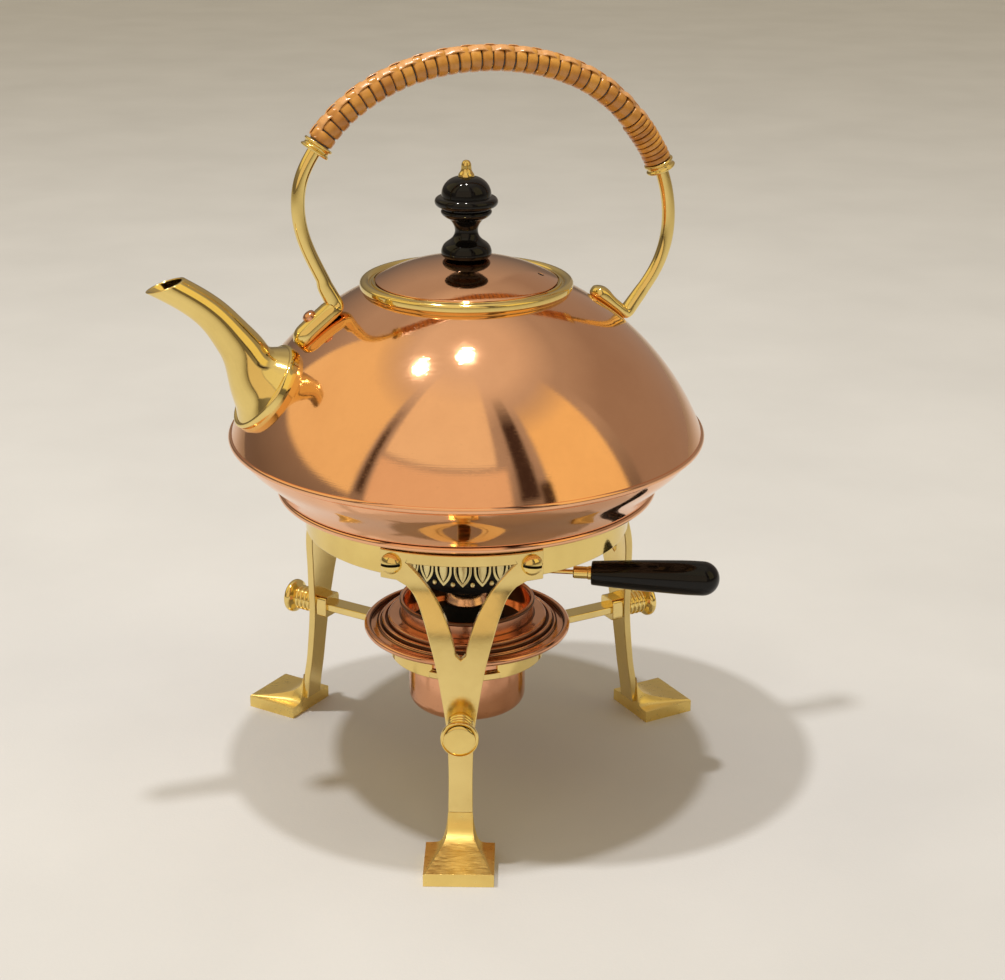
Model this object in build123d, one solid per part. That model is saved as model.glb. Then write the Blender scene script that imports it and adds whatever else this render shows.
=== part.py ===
from build123d import *
import math
import os

# Spirit kettle on a three-legged stand with its burner. Millimetres, +Z up, floor at Z = 0.
# Every sub-part is drawn about the kettle's own vertical axis, with the front leg towards -Y.
# PLACE then moves the lot so that the origin is under the middle of the bounding box.

PLACE = (6.8, 5.1, 0.0)        # where the kettle's axis stands in the finished frame

# ---- stand ----
LEG_ANGLES = {"front": 0, "right": 120, "left": 240}   # about +Z, counted from -Y
HOOP_OUTER_R = 58.9
HOOP_WALL = 1.6
HOOP_Z = (96.3, 107.0)
HOOP_END_ANGLE = 19.5          # a segment stops this far short of each leg's centre line
LEG_HEAD_TOP = 106.6
LEG_HALF_SPREAD = 27.7         # half the width across the two ears
FOOT_HALF_W = 12.0
FOOT_R = (75.0, 95.5)
FOOT_PLATE_H = 4.7
EAR_SCREW_ANGLE = 22.8
EAR_SCREW_Z = 101.9
EAR_SCREW_HEAD_R = 3.75
EAR_SCREW_SHANK_R = 1.6
THUMB_Z = 47.8
THUMB_SHANK_R = 2.4
THUMB_CLEARANCE = 0.06         # radial running clearance in the leg and the arm

# Leg plate seen from the side: (distance from the axis, height) of its outer and inner faces
LEG_OUTER_FACE = [(61.5, 96.0), (62.5, 91.2), (64.9, 84.6), (66.8, 77.5), (67.9, 69.0), (68.9, 59.0),
                  (69.8, 48.0), (70.8, 38.5), (71.9, 29.0), (73.1, 20.5), (74.0, 16.0)]
LEG_INNER_FACE = [(71.2, 15.0), (70.2, 20.5), (69.0, 29.0), (67.8, 38.5), (66.85, 48.0), (65.95, 59.0),
                  (64.9, 69.0), (63.7, 77.5), (61.8, 84.6), (59.7, 91.2), (58.9, 96.0)]
# Leg seen from the front, right half: (sideways, height)
LEG_SIDE_CURVE = [(22.0, 96.0), (17.3, 93.2), (14.0, 87.4), (11.0, 78.0), (8.2, 66.6),
                  (6.2, 54.9), (4.9, 46.0), (4.3, 36.0), (4.15, 25.0), (4.25, 16.0)]
LEG_FLARE_CURVE = [(4.25, 16.0), (4.9, 12.4), (6.7, 9.2), (9.2, 7.0), (12.0, 5.6)]
LEG_OPENING_CURVE = [(0.0, 72.9), (3.5, 82.2), (7.0, 88.7), (10.6, 94.2), (18.2, 102.5)]
LEG_OPENING_TOP = 102.6

# ---- burner holder ----
BAND_R = (27.2, 28.8)
BAND_Z = (44.1, 53.6)
BAND_NOTCH_HALF_ANGLE = 24.5
BAND_NOTCH_Z = 49.4
SADDLE_T = 1.5
ARM_W = 7.0
ARM_Z = (46.4, 49.2)
BLOCK_R = (62.2, 67.6)
BLOCK_Z = (43.6, 52.0)
BLOCK_W = 9.0

# ---- burner ----
RESERVOIR_R = 21.9
RESERVOIR_Z = (23.6, 54.0)
SHEET = 1.0
SAUCER_R = 38.4
CUP_R = 24.8
CUP_TOP = 65.6
CUP_FOOT = 59.4
CAP_R = 22.4
CAP_Z = (78.6, 87.6)
CAP_FLOOR = 70.4
NECK_RING_R = 8.2
NECK_TOP = 70.0
EGG_COUNT = 20
ROD_ANGLE = 84.0               # direction of the regulator handle, from -Y
ROD_Z = 77.4
ROD_R = 0.9
FERRULE_R = 2.3
FERRULE_SPAN = (39.5, 46.2)
GRIP_END = 93.2

# ---- kettle ----
KETTLE_TURN = 20.0             # the spout side is turned this far round towards the front
WALL = 1.2
SHOULDER = [(34.5, 184.3), (41.5, 180.9), (47.6, 177.0), (57.3, 169.5), (65.4, 161.8),
            (72.3, 153.9), (77.5, 146.0), (81.8, 138.0), (83.4, 133.4)]
RIM_BEAD = (84.0, 131.6, 1.35)
LOWER = [(83.3, 129.6), (80.4, 125.7), (76.4, 121.8), (72.6, 118.2), (69.8, 114.9), (68.4, 112.7)]
FOOT_BEAD = (67.5, 111.3, 1.25)
SEAT_Z = 107.3
SPIGOT_R = 55.9
BOTTOM_Z = 103.4
COLLAR_BORE_R = 31.3
COLLAR_LEDGE_Z = 185.2
RECESS_R = 32.6

# ---- lid ----
LID_EDGE_R = 32.1
LID_EDGE_Z = 186.9
LID_TOP_Z = 194.5
PLUG_R = 30.8
STUD_R = 1.4
VENT = (26.0, -4.0, 1.1)       # x, y of the steam vent in the lid, and its radius
KNOB = [(8.3, 194.7), (8.75, 195.6), (8.7, 197.4), (7.6, 199.3), (5.0, 201.4), (4.05, 203.4),
        (4.5, 205.9), (6.9, 208.7), (8.5, 210.6), (8.8, 212.4)]
KNOB_BEAD = (9.3, 214.4, 1.75)
KNOB_DOME = [(8.7, 216.4), (8.35, 218.4), (7.0, 220.7), (4.8, 222.3), (2.6, 222.8)]

# ---- spout: centre, radius and rise of each section, spout pointing along -X ----
SPOUT_FLANGE_R = 16.6
SPOUT_SEAT = (-72.6, 153.6)
SPOUT_SEAT_RISE = 37.4
SPOUT_SECTIONS = [((-74.3, 156.1), 15.6, 37.4), ((-77.6, 158.9), 11.4, 41.0),
                  ((-80.0, 167.2), 7.9, 56.0), ((-84.2, 173.7), 6.7, 53.0),
                  ((-89.6, 180.6), 5.85, 45.0), ((-98.6, 188.1), 5.3, 35.0),
                  ((-110.0, 195.2), 5.3, 31.0)]
MOUTH_LOW, MOUTH_HIGH = (-111.4, 190.7), (-99.0, 194.5)
SPOUT_WALL = 0.9

# ---- bail handle, in the kettle's XZ plane ----
BAR_R = 2.35
BAIL_PATH = [(-46.8, 180.6), (-50.6, 188.2), (-54.6, 196.6), (-57.9, 205.0), (-59.5, 214.0),
             (-58.2, 225.0), (-52.6, 235.4), (-45.3, 244.0), (-33.8, 252.6), (-16.0, 259.8),
             (7.8, 262.4), (32.0, 258.6), (48.6, 251.0), (61.0, 240.0), (72.4, 222.6),
             (76.2, 208.5), (75.8, 195.5), (71.7, 184.4), (61.4, 170.6)]
WRAP_R = 4.9
WRAP_SPAN = (6, 14)            # the cane runs between these two points of the path
BAIL_COLLAR_R = 5.3
PAD_W = 8.0
PAD_T = 2.8


def place(shape):
    """Moves a shape from the kettle's axis to the finished frame."""
    return Pos(*PLACE) * shape


def polar(angle):
    """A rotation about Z that takes the -Y direction round to this angle."""
    return Rot(0, 0, angle)


def turned(outline):
    """A solid of revolution about Z from a closed face in the XZ plane."""
    return revolve(outline, Axis.Z, 360)


def face_from(edges):
    """A face in the XZ plane from lines and curves that close a loop."""
    return make_face([edge for line in edges for edge in line.edges()])


def xz(points):
    return [(x, 0, z) for x, z in points]


def ring(r_in, r_out, z_low, z_high):
    """A plain upright tube."""
    tube = Pos(0, 0, z_low) * extrude(Circle(r_out) - Circle(r_in), z_high - z_low)
    return tube


def sector(angle_from, angle_to, radius, z_low, z_high):
    """A wedge used to cut rings, from one angle to the other, counted from -Y."""
    steps = 8
    pts = [(0, 0)]
    for i in range(steps + 1):
        a = math.radians(angle_from + (angle_to - angle_from) * i / steps)
        pts.append((radius * math.sin(a), -radius * math.cos(a)))
    return Pos(0, 0, z_low) * extrude(make_face(Polyline(*pts, close=True)), z_high - z_low)


def mirrored(points):
    return [(-x, z) for x, z in reversed(points)]


# ------------------------------------------------------------------ stand
def leg_side_slab():
    """The curved and splayed plate all legs are cut from, turned about the axis."""
    outer, inner = xz(LEG_OUTER_FACE), xz(LEG_INNER_FACE)
    flare = xz([(74.0, 16.0), (75.1, 11.6), (78.2, 7.6), (83.0, 5.4), (89.0, FOOT_PLATE_H)])
    edges = [
        Line((61.5, 0, LEG_HEAD_TOP), (61.5, 0, 96.0)),
        Spline(*outer, tangents=[(0, 0, -1), (0.22, 0, -1)]),
        Spline(*flare, tangents=[(0.22, 0, -1), (1, 0, -0.05)]),
        Polyline((89.0, 0, FOOT_PLATE_H), (FOOT_R[1] + 3, 0, FOOT_PLATE_H), (FOOT_R[1] + 3, 0, 0),
                 (FOOT_R[0] - 1.2, 0, 0)),
        Spline((FOOT_R[0] - 1.2, 0, 0), (72.6, 0, 8.0), (71.2, 0, 15.0)),
        Spline(*inner, tangents=[(-0.2, 0, 1), (0, 0, 1)]),
        Line((58.9, 0, 96.0), (58.9, 0, LEG_HEAD_TOP)),
        Line((58.9, 0, LEG_HEAD_TOP), (61.5, 0, LEG_HEAD_TOP)),
    ]
    return revolve(face_from(edges), Axis.Z, 80).rotate(Axis.Z, -130)


def leg_outline():
    """The Y-shaped front view with its pointed opening, as a thick prism."""
    left = mirrored(LEG_SIDE_CURVE)
    edges = [
        Polyline((-LEG_HALF_SPREAD, 0, 96.0), (-LEG_HALF_SPREAD, 0, LEG_HEAD_TOP + 1),
                 (LEG_HALF_SPREAD, 0, LEG_HEAD_TOP + 1), (LEG_HALF_SPREAD, 0, 96.0), (22.0, 0, 96.0)),
        Spline(*xz(LEG_SIDE_CURVE), tangents=[(-1, 0, -0.25), (0.02, 0, -1)]),
        Spline(*xz(LEG_FLARE_CURVE), tangents=[(0.02, 0, -1), (1, 0, -0.35)]),
        Polyline((12.0, 0, 5.6), (12.0, 0, -1), (-12.0, 0, -1), (-12.0, 0, 5.6)),
        Spline(*xz(mirrored(LEG_FLARE_CURVE)), tangents=[(1, 0, 0.35), (0.02, 0, 1)]),
        Spline(*xz(left), tangents=[(0.02, 0, 1), (-1, 0, 0.25)]),
        Line((-22.0, 0, 96.0), (-LEG_HALF_SPREAD, 0, 96.0)),
    ]
    opening = [
        Spline(*xz(LEG_OPENING_CURVE)),
        Polyline((18.2, 0, 102.5), (18.2, 0, LEG_OPENING_TOP), (-18.2, 0, LEG_OPENING_TOP),
                 (-18.2, 0, 102.5)),
        Spline(*xz(mirrored(LEG_OPENING_CURVE))),
    ]
    body = extrude(face_from(edges), 60, dir=(0, -1, 0))
    return Pos(0, -40, 0) * (body - extrude(face_from(opening), 60, dir=(0, -1, 0)))


def radial_hole(radius, r_from, r_to, z):
    """A cylinder lying along -Y, from one distance to the other."""
    return Pos(0, -r_from, z) * (Rot(90, 0, 0) * extrude(Circle(radius), r_to - r_from))


def leg():
    """One cast leg: two eared arms, splayed shaft and square foot."""
    body = leg_outline() & leg_side_slab()
    body -= Pos(0, -(FOOT_R[0] - 10), 4) * Box(40, 20, 8)                      # square inner edge
    body -= Pos(0, -(FOOT_R[1] + 10), 4) * Box(40, 20, 12)                     # square outer edge
    body -= radial_hole(THUMB_SHANK_R + THUMB_CLEARANCE, 60, 80, THUMB_Z)
    for side in (-1, 1):
        body -= polar(side * EAR_SCREW_ANGLE) * radial_hole(EAR_SCREW_SHANK_R, 50, 70, EAR_SCREW_Z)
    return body


def hoop_segment(start_leg_angle):
    """One third of the hoop, from behind one leg's ear to behind the next leg's."""
    first, last = start_leg_angle + HOOP_END_ANGLE, start_leg_angle + 120 - HOOP_END_ANGLE
    body = ring(HOOP_OUTER_R - HOOP_WALL, HOOP_OUTER_R, *HOOP_Z)
    body &= sector(first, last, 90, HOOP_Z[0] - 1, HOOP_Z[1] + 1)
    for angle in (start_leg_angle + EAR_SCREW_ANGLE, start_leg_angle + 120 - EAR_SCREW_ANGLE):
        body -= polar(angle) * radial_hole(EAR_SCREW_SHANK_R, 50, 70, EAR_SCREW_Z)
    return body


def ear_screw(angle, slot_angle):
    """Round-headed slotted screw through an ear and the hoop behind it."""
    head = Sphere(4.6) & Pos(0, 0, 4.6) * Cylinder(EAR_SCREW_HEAD_R, 4.0)
    head = Pos(0, 0, -2.6) * head
    head -= Rot(0, 0, slot_angle) * Pos(0, 0, 1.7) * Box(9, 1.0, 1.4)
    screw = Pos(0, -61.4, EAR_SCREW_Z) * (Rot(90, 0, 0) * head)
    screw += radial_hole(EAR_SCREW_SHANK_R - 0.02, HOOP_OUTER_R - HOOP_WALL + 0.05, 61.8, EAR_SCREW_Z)
    return polar(angle) * screw


def thumb_screw():
    """Turned clamp screw: shank, ribbed neck, flared rim and round face, along -Y."""
    a, neck, rim = 63.0, 71.0, 80.2
    pts = [(0, a), (THUMB_SHANK_R, a), (THUMB_SHANK_R, neck), (4.5, neck)]
    for i in range(4):
        y = neck + 0.3 + i * 1.8
        pts += [(4.75, y + 0.1), (4.75, y + 1.0), (4.2, y + 1.2), (4.2, y + 1.6)]
    pts += [(4.4, 78.2), (5.4, 79.2), (6.4, rim), (6.5, rim + 1.0), (6.3, rim + 1.8),
            (5.75, rim + 1.9), (5.7, rim + 1.2), (5.45, rim + 1.2), (5.4, rim + 2.4),
            (5.0, rim + 2.9), (0, rim + 3.1)]
    face = make_face(Polyline(*[(x, 0, y) for x, y in pts], close=True))
    return Pos(0, 0, THUMB_Z) * (Rot(90, 0, 0) * revolve(face, Axis.Z, 360))


# ------------------------------------------------------------------ burner holder
def holder_band():
    """The hoop that the burner hangs in, notched over each arm."""
    body = ring(*BAND_R, *BAND_Z)
    for angle in LEG_ANGLES.values():
        body -= sector(angle - BAND_NOTCH_HALF_ANGLE, angle + BAND_NOTCH_HALF_ANGLE, 40,
                       BAND_NOTCH_Z, BAND_Z[1] + 1)
    return body


def holder_arm(leg_solid):
    """Flat arm with a curved saddle on the band and a block behind the leg."""
    half = BAND_NOTCH_HALF_ANGLE + 1.0
    saddle = ring(BAND_R[1], BAND_R[1] + SADDLE_T, BAND_Z[0] + 0.8, BAND_NOTCH_Z - 0.1)
    saddle &= sector(-half, half, 50, BAND_Z[0], BAND_Z[1])
    z_mid, z_span = sum(ARM_Z) / 2, ARM_Z[1] - ARM_Z[0]
    strip = Pos(0, -46, z_mid) * Box(ARM_W, 34.5, z_span)
    r_mid, r_span = sum(BLOCK_R) / 2, BLOCK_R[1] - BLOCK_R[0]
    block = Pos(0, -r_mid, sum(BLOCK_Z) / 2) * Box(BLOCK_W, r_span, BLOCK_Z[1] - BLOCK_Z[0])
    block = fillet(block.edges().filter_by(Axis.Y), 1.5)
    arm = saddle + strip + block - leg_solid - ring(10, BAND_R[1], 40, 60)
    return arm - radial_hole(THUMB_SHANK_R + THUMB_CLEARANCE, 61, 70, THUMB_Z)


# ------------------------------------------------------------------ burner
def reservoir():
    """Spun spirit cup with a rounded bottom edge."""
    low, high = RESERVOIR_Z
    outer = Pos(0, 0, low) * extrude(Circle(RESERVOIR_R), high - low)
    outer = fillet(outer.edges().group_by(Axis.Z)[0], 4.0)
    inner = Pos(0, 0, low + SHEET) * extrude(Circle(RESERVOIR_R - SHEET), high - low)
    inner = fillet(inner.edges().group_by(Axis.Z)[0], 3.0)
    return outer - inner


def saucer():
    """Stepped saucer with a rolled edge that rests on the holder band."""
    top = [(37.3, 56.6), (36.4, 55.4), (35.4, 55.3), (33.8, 55.7), (33.3, 56.4), (32.8, 56.8),
           (32.3, 56.5), (32.0, 56.1), (31.7, 57.3), (31.1, 58.0), (30.4, 57.7), (30.0, 57.2),
           (29.5, 57.6), (29.4, 58.9), (28.6, 59.3), (25.6, CUP_FOOT)]
    pts = [(14.0, 54.0), (37.3, 54.0)] + top + [(CUP_R - 0.9, CUP_FOOT), (CUP_R - 0.9, 55.0), (14.0, 55.0)]
    body = revolve(make_face(Polyline(*xz(pts), close=True)), Axis.Z, 360)
    roll = revolve(Pos(37.2, 0, 55.3) * (Rot(90, 0, 0) * Circle(1.25)), Axis.Z, 360)
    return body + roll


def burner_cup():
    """Upright cup wall with a small rolled rim, standing in the saucer."""
    wall = ring(CUP_R - SHEET, CUP_R, CUP_FOOT, CUP_TOP - 0.5)
    rim = revolve(Pos(CUP_R - 0.5, 0, CUP_TOP - 0.7) * (Rot(90, 0, 0) * Circle(0.75)), Axis.Z, 360)
    return wall + rim


def burner_neck():
    """Copper wick holder: stepped foot, waist and top ring, with a bore for the wick."""
    r, top = NECK_RING_R, NECK_TOP
    pts = [(5.0, 55.0), (13.8, 55.0), (13.8, 57.2), (11.0, 58.2), (7.9, 60.2), (6.9, 62.6),
           (6.9, 65.6), (7.9, 66.1), (r, 66.5), (r, top - 0.4), (r - 0.4, top), (5.0, top)]
    return revolve(make_face(Polyline(*xz(pts), close=True)), Axis.Z, 360)


def wick():
    """Round wick through the neck, down into the spirit."""
    return Pos(0, 0, 27.0) * extrude(Circle(4.7), 45.0)


def regulator_cap():
    """Dished cap over the wick; its band carries the ornament."""
    low, high = CAP_Z
    edges = [
        Polyline((0, 0, 76.0), (7.6, 0, 76.0), (7.6, 0, CAP_FLOOR), (8.6, 0, CAP_FLOOR)),
        Spline((8.6, 0, CAP_FLOOR), (13.6, 0, 71.6), (19.0, 0, 74.9), (CAP_R, 0, low),
               tangents=[(1, 0, 0.05), (0.5, 0, 1)]),
        Polyline((CAP_R, 0, low), (CAP_R, 0, high)),
        Spline((CAP_R, 0, high), (20.0, 0, 88.9), (0, 0, 90.4), tangents=[(-0.6, 0, 1), (-1, 0, 0)]),
        Line((0, 0, 90.4), (0, 0, 76.0)),
    ]
    return turned(face_from(edges))


def egg_band():
    """Brass band of raised eggs between two fillets."""
    low, high = CAP_Z
    body = ring(CAP_R, CAP_R + 0.35, low, high - 0.2)
    egg = revolve(Ellipse(1.35, 3.6) & Pos(2, 0) * Rectangle(4, 8), Axis.Y, 360)
    egg = Pos(0, -CAP_R - 0.1, low + 4.6) * (Rot(90, 0, 0) * egg)
    for i in range(EGG_COUNT):
        body += polar(-2 + i * 360 / EGG_COUNT) * egg
    return body - Pos(0, 0, low - 1) * extrude(Circle(CAP_R), 12)


def lying(points, z=ROD_Z):
    """A turned piece lying along the regulator handle, from (distance, radius) points."""
    pts = [(0, points[0][0])] + [(r, d) for d, r in points] + [(0, points[-1][0])]
    body = revolve(make_face(Polyline(*[(x, 0, y) for x, y in pts], close=True)), Axis.Z, 360)
    return polar(ROD_ANGLE) * (Pos(0, 0, z) * (Rot(90, 0, 0) * body))


def regulator_rod():
    return lying([(20.0, ROD_R), (FERRULE_SPAN[0], ROD_R)]) - regulator_cap() - egg_band()


def regulator_ferrule():
    a, b = FERRULE_SPAN
    return lying([(a, FERRULE_R - 0.3), (a + 0.4, FERRULE_R), (b - 1.2, FERRULE_R),
                  (b - 1.0, FERRULE_R + 0.25), (b, FERRULE_R + 0.25)])


def regulator_grip():
    """Long turned wooden grip, thickest near its rounded end."""
    a = FERRULE_SPAN[1]
    pts = [(a, 4.2), (a + 0.8, 4.6), (55, 5.1), (65, 5.7), (75, 6.15), (83, 6.4), (87.5, 6.35)]
    for i in range(1, 9):
        t = math.radians(i * 90 / 8)
        pts.append((87.5 + (GRIP_END - 87.5) * math.sin(t), 6.35 * math.cos(t)))
    return lying(pts[:-1] + [(GRIP_END, 0.3)])


# ------------------------------------------------------------------ kettle
def profile_fill():
    """The kettle's outer shape as one solid, used to seat what is fixed on it."""
    edges = [
        Spline(*xz(SHOULDER)),
        Polyline((83.4, 0, 133.4), (83.3, 0, 129.6)),
        Spline(*xz(LOWER)),
        Polyline((68.4, 0, 112.7), (0, 0, 112.7), (0, 0, 184.3), (34.5, 0, 184.3)),
    ]
    return turned(face_from(edges))


def shell(points, thickness, start_dir=None, end_dir=None):
    """A sheet of even thickness under an outer line given from top to bottom."""
    outer = Spline(*xz(points))
    inner = []
    for i in range(len(points)):
        u = i / (len(points) - 1)
        p, t = outer @ u, outer % u
        inner.append((p.X + t.Z * thickness, 0, p.Z - t.X * thickness))
    back = Spline(*inner[::-1])
    first, last = outer @ 0, outer @ 1
    return turned(face_from([outer, Line((last.X, 0, last.Z), inner[-1]), back,
                             Line(inner[0], (first.X, 0, first.Z))]))


def kettle_shoulder():
    """Copper shoulder with its rolled rim, pierced for the spout."""
    body = shell(SHOULDER, WALL)
    r, z, w = RIM_BEAD
    body += revolve(Pos(r, 0, z) * (Rot(90, 0, 0) * Circle(w)), Axis.Z, 360)
    web = [(82.1, 134.2), (83.5, 134.2), (84.0, 131.6), (82.9, 130.2), (82.1, 130.2)]
    body += revolve(make_face(Polyline(*xz(web), close=True)), Axis.Z, 360)
    return body - spout_tube(SPOUT_WALL, reach=6.0, only_base=True)


def kettle_lower():
    """Copper lower body between the rim seam and the foot bead."""
    return shell(LOWER, WALL)


def kettle_bottom():
    """Bottom pan: foot bead, seat that rests on the hoop, and a spigot that drops inside it."""
    r, z, w = FOOT_BEAD
    pts = [(67.4, 110.4), (63.0, 108.4), (60.8, SEAT_Z), (SPIGOT_R, SEAT_Z), (SPIGOT_R, BOTTOM_Z + 1),
           (SPIGOT_R - 1, BOTTOM_Z), (0, BOTTOM_Z), (0, BOTTOM_Z + 1.2), (SPIGOT_R - 1.4, BOTTOM_Z + 1.2),
           (SPIGOT_R - 1.2, SEAT_Z + 1.2), (60.4, SEAT_Z + 1.2), (62.6, 109.8), (66.6, 111.8)]
    body = revolve(make_face(Polyline(*xz(pts), close=True)), Axis.Z, 360)
    body += revolve(Pos(r, 0, z) * (Rot(90, 0, 0) * Circle(w)), Axis.Z, 360)
    return body - kettle_lower()


def kettle_collar():
    """Brass collar: fat outer round, thin inner ring, and the ledge the lid rests on."""
    edges = [
        Polyline((COLLAR_BORE_R, 0, 179.0), (COLLAR_BORE_R, 0, COLLAR_LEDGE_Z),
                 (RECESS_R, 0, COLLAR_LEDGE_Z), (RECESS_R, 0, 186.6), (33.2, 0, 186.6),
                 (33.4, 0, 185.9), (33.9, 0, 185.9)),
        Spline((33.9, 0, 185.9), (34.3, 0, 187.0), (35.5, 0, 187.6), (36.9, 0, 186.7), (37.5, 0, 185.0),
               (37.0, 0, 183.3), (35.9, 0, 182.3)),
        Polyline((35.9, 0, 182.3), (32.5, 0, 182.3), (32.5, 0, 179.0), (COLLAR_BORE_R, 0, 179.0)),
    ]
    return turned(face_from(edges)) - shell(SHOULDER, WALL)


def section_plane(centre, rise):
    a = math.radians(rise)
    return Plane(origin=(centre[0], 0, centre[1]), x_dir=(0, 1, 0), z_dir=(-math.cos(a), 0, math.sin(a)))


def spout_tube(inset, reach=0.0, only_base=False):
    """The spout's lofted outside (inset 0) or its bore (inset = wall)."""
    a = math.radians(SPOUT_SEAT_RISE)
    base = (SPOUT_SEAT[0] + reach * math.cos(a), SPOUT_SEAT[1] - reach * math.sin(a))
    if only_base:
        end = (SPOUT_SEAT[0] - 4 * math.cos(a), SPOUT_SEAT[1] + 4 * math.sin(a))
        rad = 11.0
        return loft([section_plane(base, SPOUT_SEAT_RISE) * Circle(rad),
                     section_plane(end, SPOUT_SEAT_RISE) * Circle(rad)], ruled=True)
    sections = [section_plane(c, rise) * Circle(r - inset) for c, r, rise in SPOUT_SECTIONS]
    return loft(sections)


def spout():
    """Tapering swan-neck spout with a round flange riveted to the shoulder."""
    a = math.radians(SPOUT_SEAT_RISE)
    seat = section_plane(SPOUT_SEAT, SPOUT_SEAT_RISE)
    under = section_plane((SPOUT_SEAT[0] + 5 * math.cos(a), SPOUT_SEAT[1] - 5 * math.sin(a)), SPOUT_SEAT_RISE)
    outside = spout_tube(0.0)
    root = extrude(under * Circle(15.6), 5 + 3.1)
    r = SPOUT_FLANGE_R
    rim = [(0, 0), (r, 0), (r, 6.2), (r - 0.4, 7.1), (r - 1.3, 7.5), (r - 2.6, 7.2), (0, 7.2)]
    flange = under.location * revolve(make_face(Polyline(*xz(rim), close=True)), Axis.Z, 360)
    bore = spout_tube(SPOUT_WALL)
    well = extrude(under * Circle(SPOUT_SECTIONS[0][1] - SPOUT_WALL), 5 + 3.2)
    tube = (outside + root + flange) - bore - well - profile_fill()
    dx, dz = MOUTH_LOW[0] - MOUTH_HIGH[0], MOUTH_LOW[1] - MOUTH_HIGH[1]
    tilt = math.degrees(math.atan2(-dz, -dx))
    mid = ((MOUTH_LOW[0] + MOUTH_HIGH[0]) / 2, (MOUTH_LOW[1] + MOUTH_HIGH[1]) / 2)
    tube -= Pos(mid[0], 0, mid[1]) * (Rot(0, -tilt, 0) * (Pos(0, 0, 15) * Box(60, 40, 30)))
    return max(tube.solids(), key=lambda s: s.volume)


def bail_line():
    """The handle's whole centre line."""
    return Spline(*xz(BAIL_PATH))


def bail_part(first, last, radius):
    """A round bar along part of the handle's line, between two fractions of it."""
    line = bail_line().trim(first, last)
    start = line @ 0
    return sweep(Plane(origin=start, z_dir=line % 0) * Circle(radius), path=line)


def path_fraction(index):
    x, z = BAIL_PATH[index]
    return bail_line().param_at_point(Vector(x, 0, z))


def pad(from_xz, to_xz, thickness):
    """A flat foot lying on the shoulder, with a round end, trimmed to the body."""
    (x0, z0), (x1, z1) = from_xz, to_xz
    length = math.hypot(x1 - x0, z1 - z0)
    angle = math.degrees(math.atan2(z1 - z0, x1 - x0))
    flat = SlotCenterToCenter(length, PAD_W)
    body = Rot(0, -angle, 0) * extrude(flat, 8, both=True)
    body = Pos((x0 + x1) / 2, 0, (z0 + z1) / 2) * body
    return body & lifted_fill(thickness)


def lifted_fill(thickness):
    """The body's outside pushed out by a thickness, less the body itself."""
    top = [(x + 0.62 * thickness, z + 0.78 * thickness) for x, z in SHOULDER[1:6]]
    low = [(x - 0.02, z - 0.02) for x, z in SHOULDER[1:6]]
    edges = [Spline(*xz(top)), Line((top[-1][0], 0, top[-1][1]), (low[-1][0], 0, low[-1][1])),
             Polyline(*xz(low[::-1])), Line((low[0][0], 0, low[0][1]), (top[0][0], 0, top[0][1]))]
    return turned(face_from(edges)) - profile_fill()


def bail_bar():
    """The handle's brass bar with its two feet."""
    bar = bail_part(0.0, 1.0, BAR_R)
    left = pad((-46.6, 178.2), (-56.2, 171.0), PAD_T)
    right = pad((47.2, 178.2), (60.6, 168.0), PAD_T)
    hump = Pos(47.4, 0, 180.0) * Sphere(3.2)
    bar += Pos(BAIL_PATH[0][0], 0, BAIL_PATH[0][1]) * Sphere(BAR_R + 0.6)
    bar += Pos(BAIL_PATH[-1][0], 0, BAIL_PATH[-1][1]) * Sphere(BAR_R + 0.6)
    whole = bar + left + right + hump
    whole -= profile_fill()
    return max(whole.solids(), key=lambda s: s.volume) - bail_rivets()


def bail_rivets():
    """Copper rivet through the spout-side foot."""
    a = 37.0
    body = Pos(0, 0, 2.4) * (Sphere(2.7) & Pos(0, 0, 1.5) * Box(8, 8, 3)) + Cylinder(1.6, 9.0)
    return Pos(-56.2, 0, 173.6) * (Rot(0, -a, 0) * body) - profile_fill()


def bail_collars():
    """Two washers that end the cane wrap, as separate solids."""
    line = bail_line()
    out = []
    for index, sign in ((WRAP_SPAN[0], 1), (WRAP_SPAN[1], -1)):
        u = path_fraction(index)
        p, t = line @ u, line % u
        disc = extrude(Plane(origin=p, z_dir=t) * Circle(BAIL_COLLAR_R), 1.1, both=True)
        out.append(fillet(disc.edges(), 0.8) - bail_part(0.0, 1.0, BAR_R))
    return out


def bail_wrap():
    """Cane sleeve around the top of the handle."""
    a, b = (path_fraction(i) for i in WRAP_SPAN)
    sleeve = bail_part(a, b, WRAP_R) - bail_part(0.0, 1.0, BAR_R)
    for collar in bail_collars():
        sleeve -= collar
    return max(sleeve.solids(), key=lambda s: s.volume)


# ------------------------------------------------------------------ lid
def lid_dome():
    """Low copper dome with a rolled edge, a stud hole and a steam vent."""
    edges = [
        Spline((0, 0, LID_TOP_Z), (13.0, 0, 193.3), (24.0, 0, 190.4), (LID_EDGE_R - 0.3, 0, LID_EDGE_Z),
               tangents=[(1, 0, 0), (1, 0, -0.52)]),
        Polyline((LID_EDGE_R - 0.3, 0, LID_EDGE_Z), (LID_EDGE_R, 0, LID_EDGE_Z - 0.4),
                 (LID_EDGE_R, 0, 185.8), (LID_EDGE_R - 0.3, 0, 185.5), (29.4, 0, 185.5), (29.4, 0, 186.9)),
        Spline((29.4, 0, 186.9), (23.5, 0, 189.4), (12.8, 0, 192.3), (0, 0, 193.4),
               tangents=[(-1, 0, 0.5), (-1, 0, 0)]),
        Line((0, 0, 193.4), (0, 0, LID_TOP_Z)),
    ]
    x, y, r = VENT
    body = turned(face_from(edges)) - Pos(x, y, 190) * Cylinder(r, 20)
    return body - Pos(0, 0, 190) * Cylinder(STUD_R, 20)


def lid_plug():
    """Brass ring under the lid that centres it in the collar."""
    return ring(PLUG_R - 1.0, PLUG_R, 179.8, 185.5)


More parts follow.
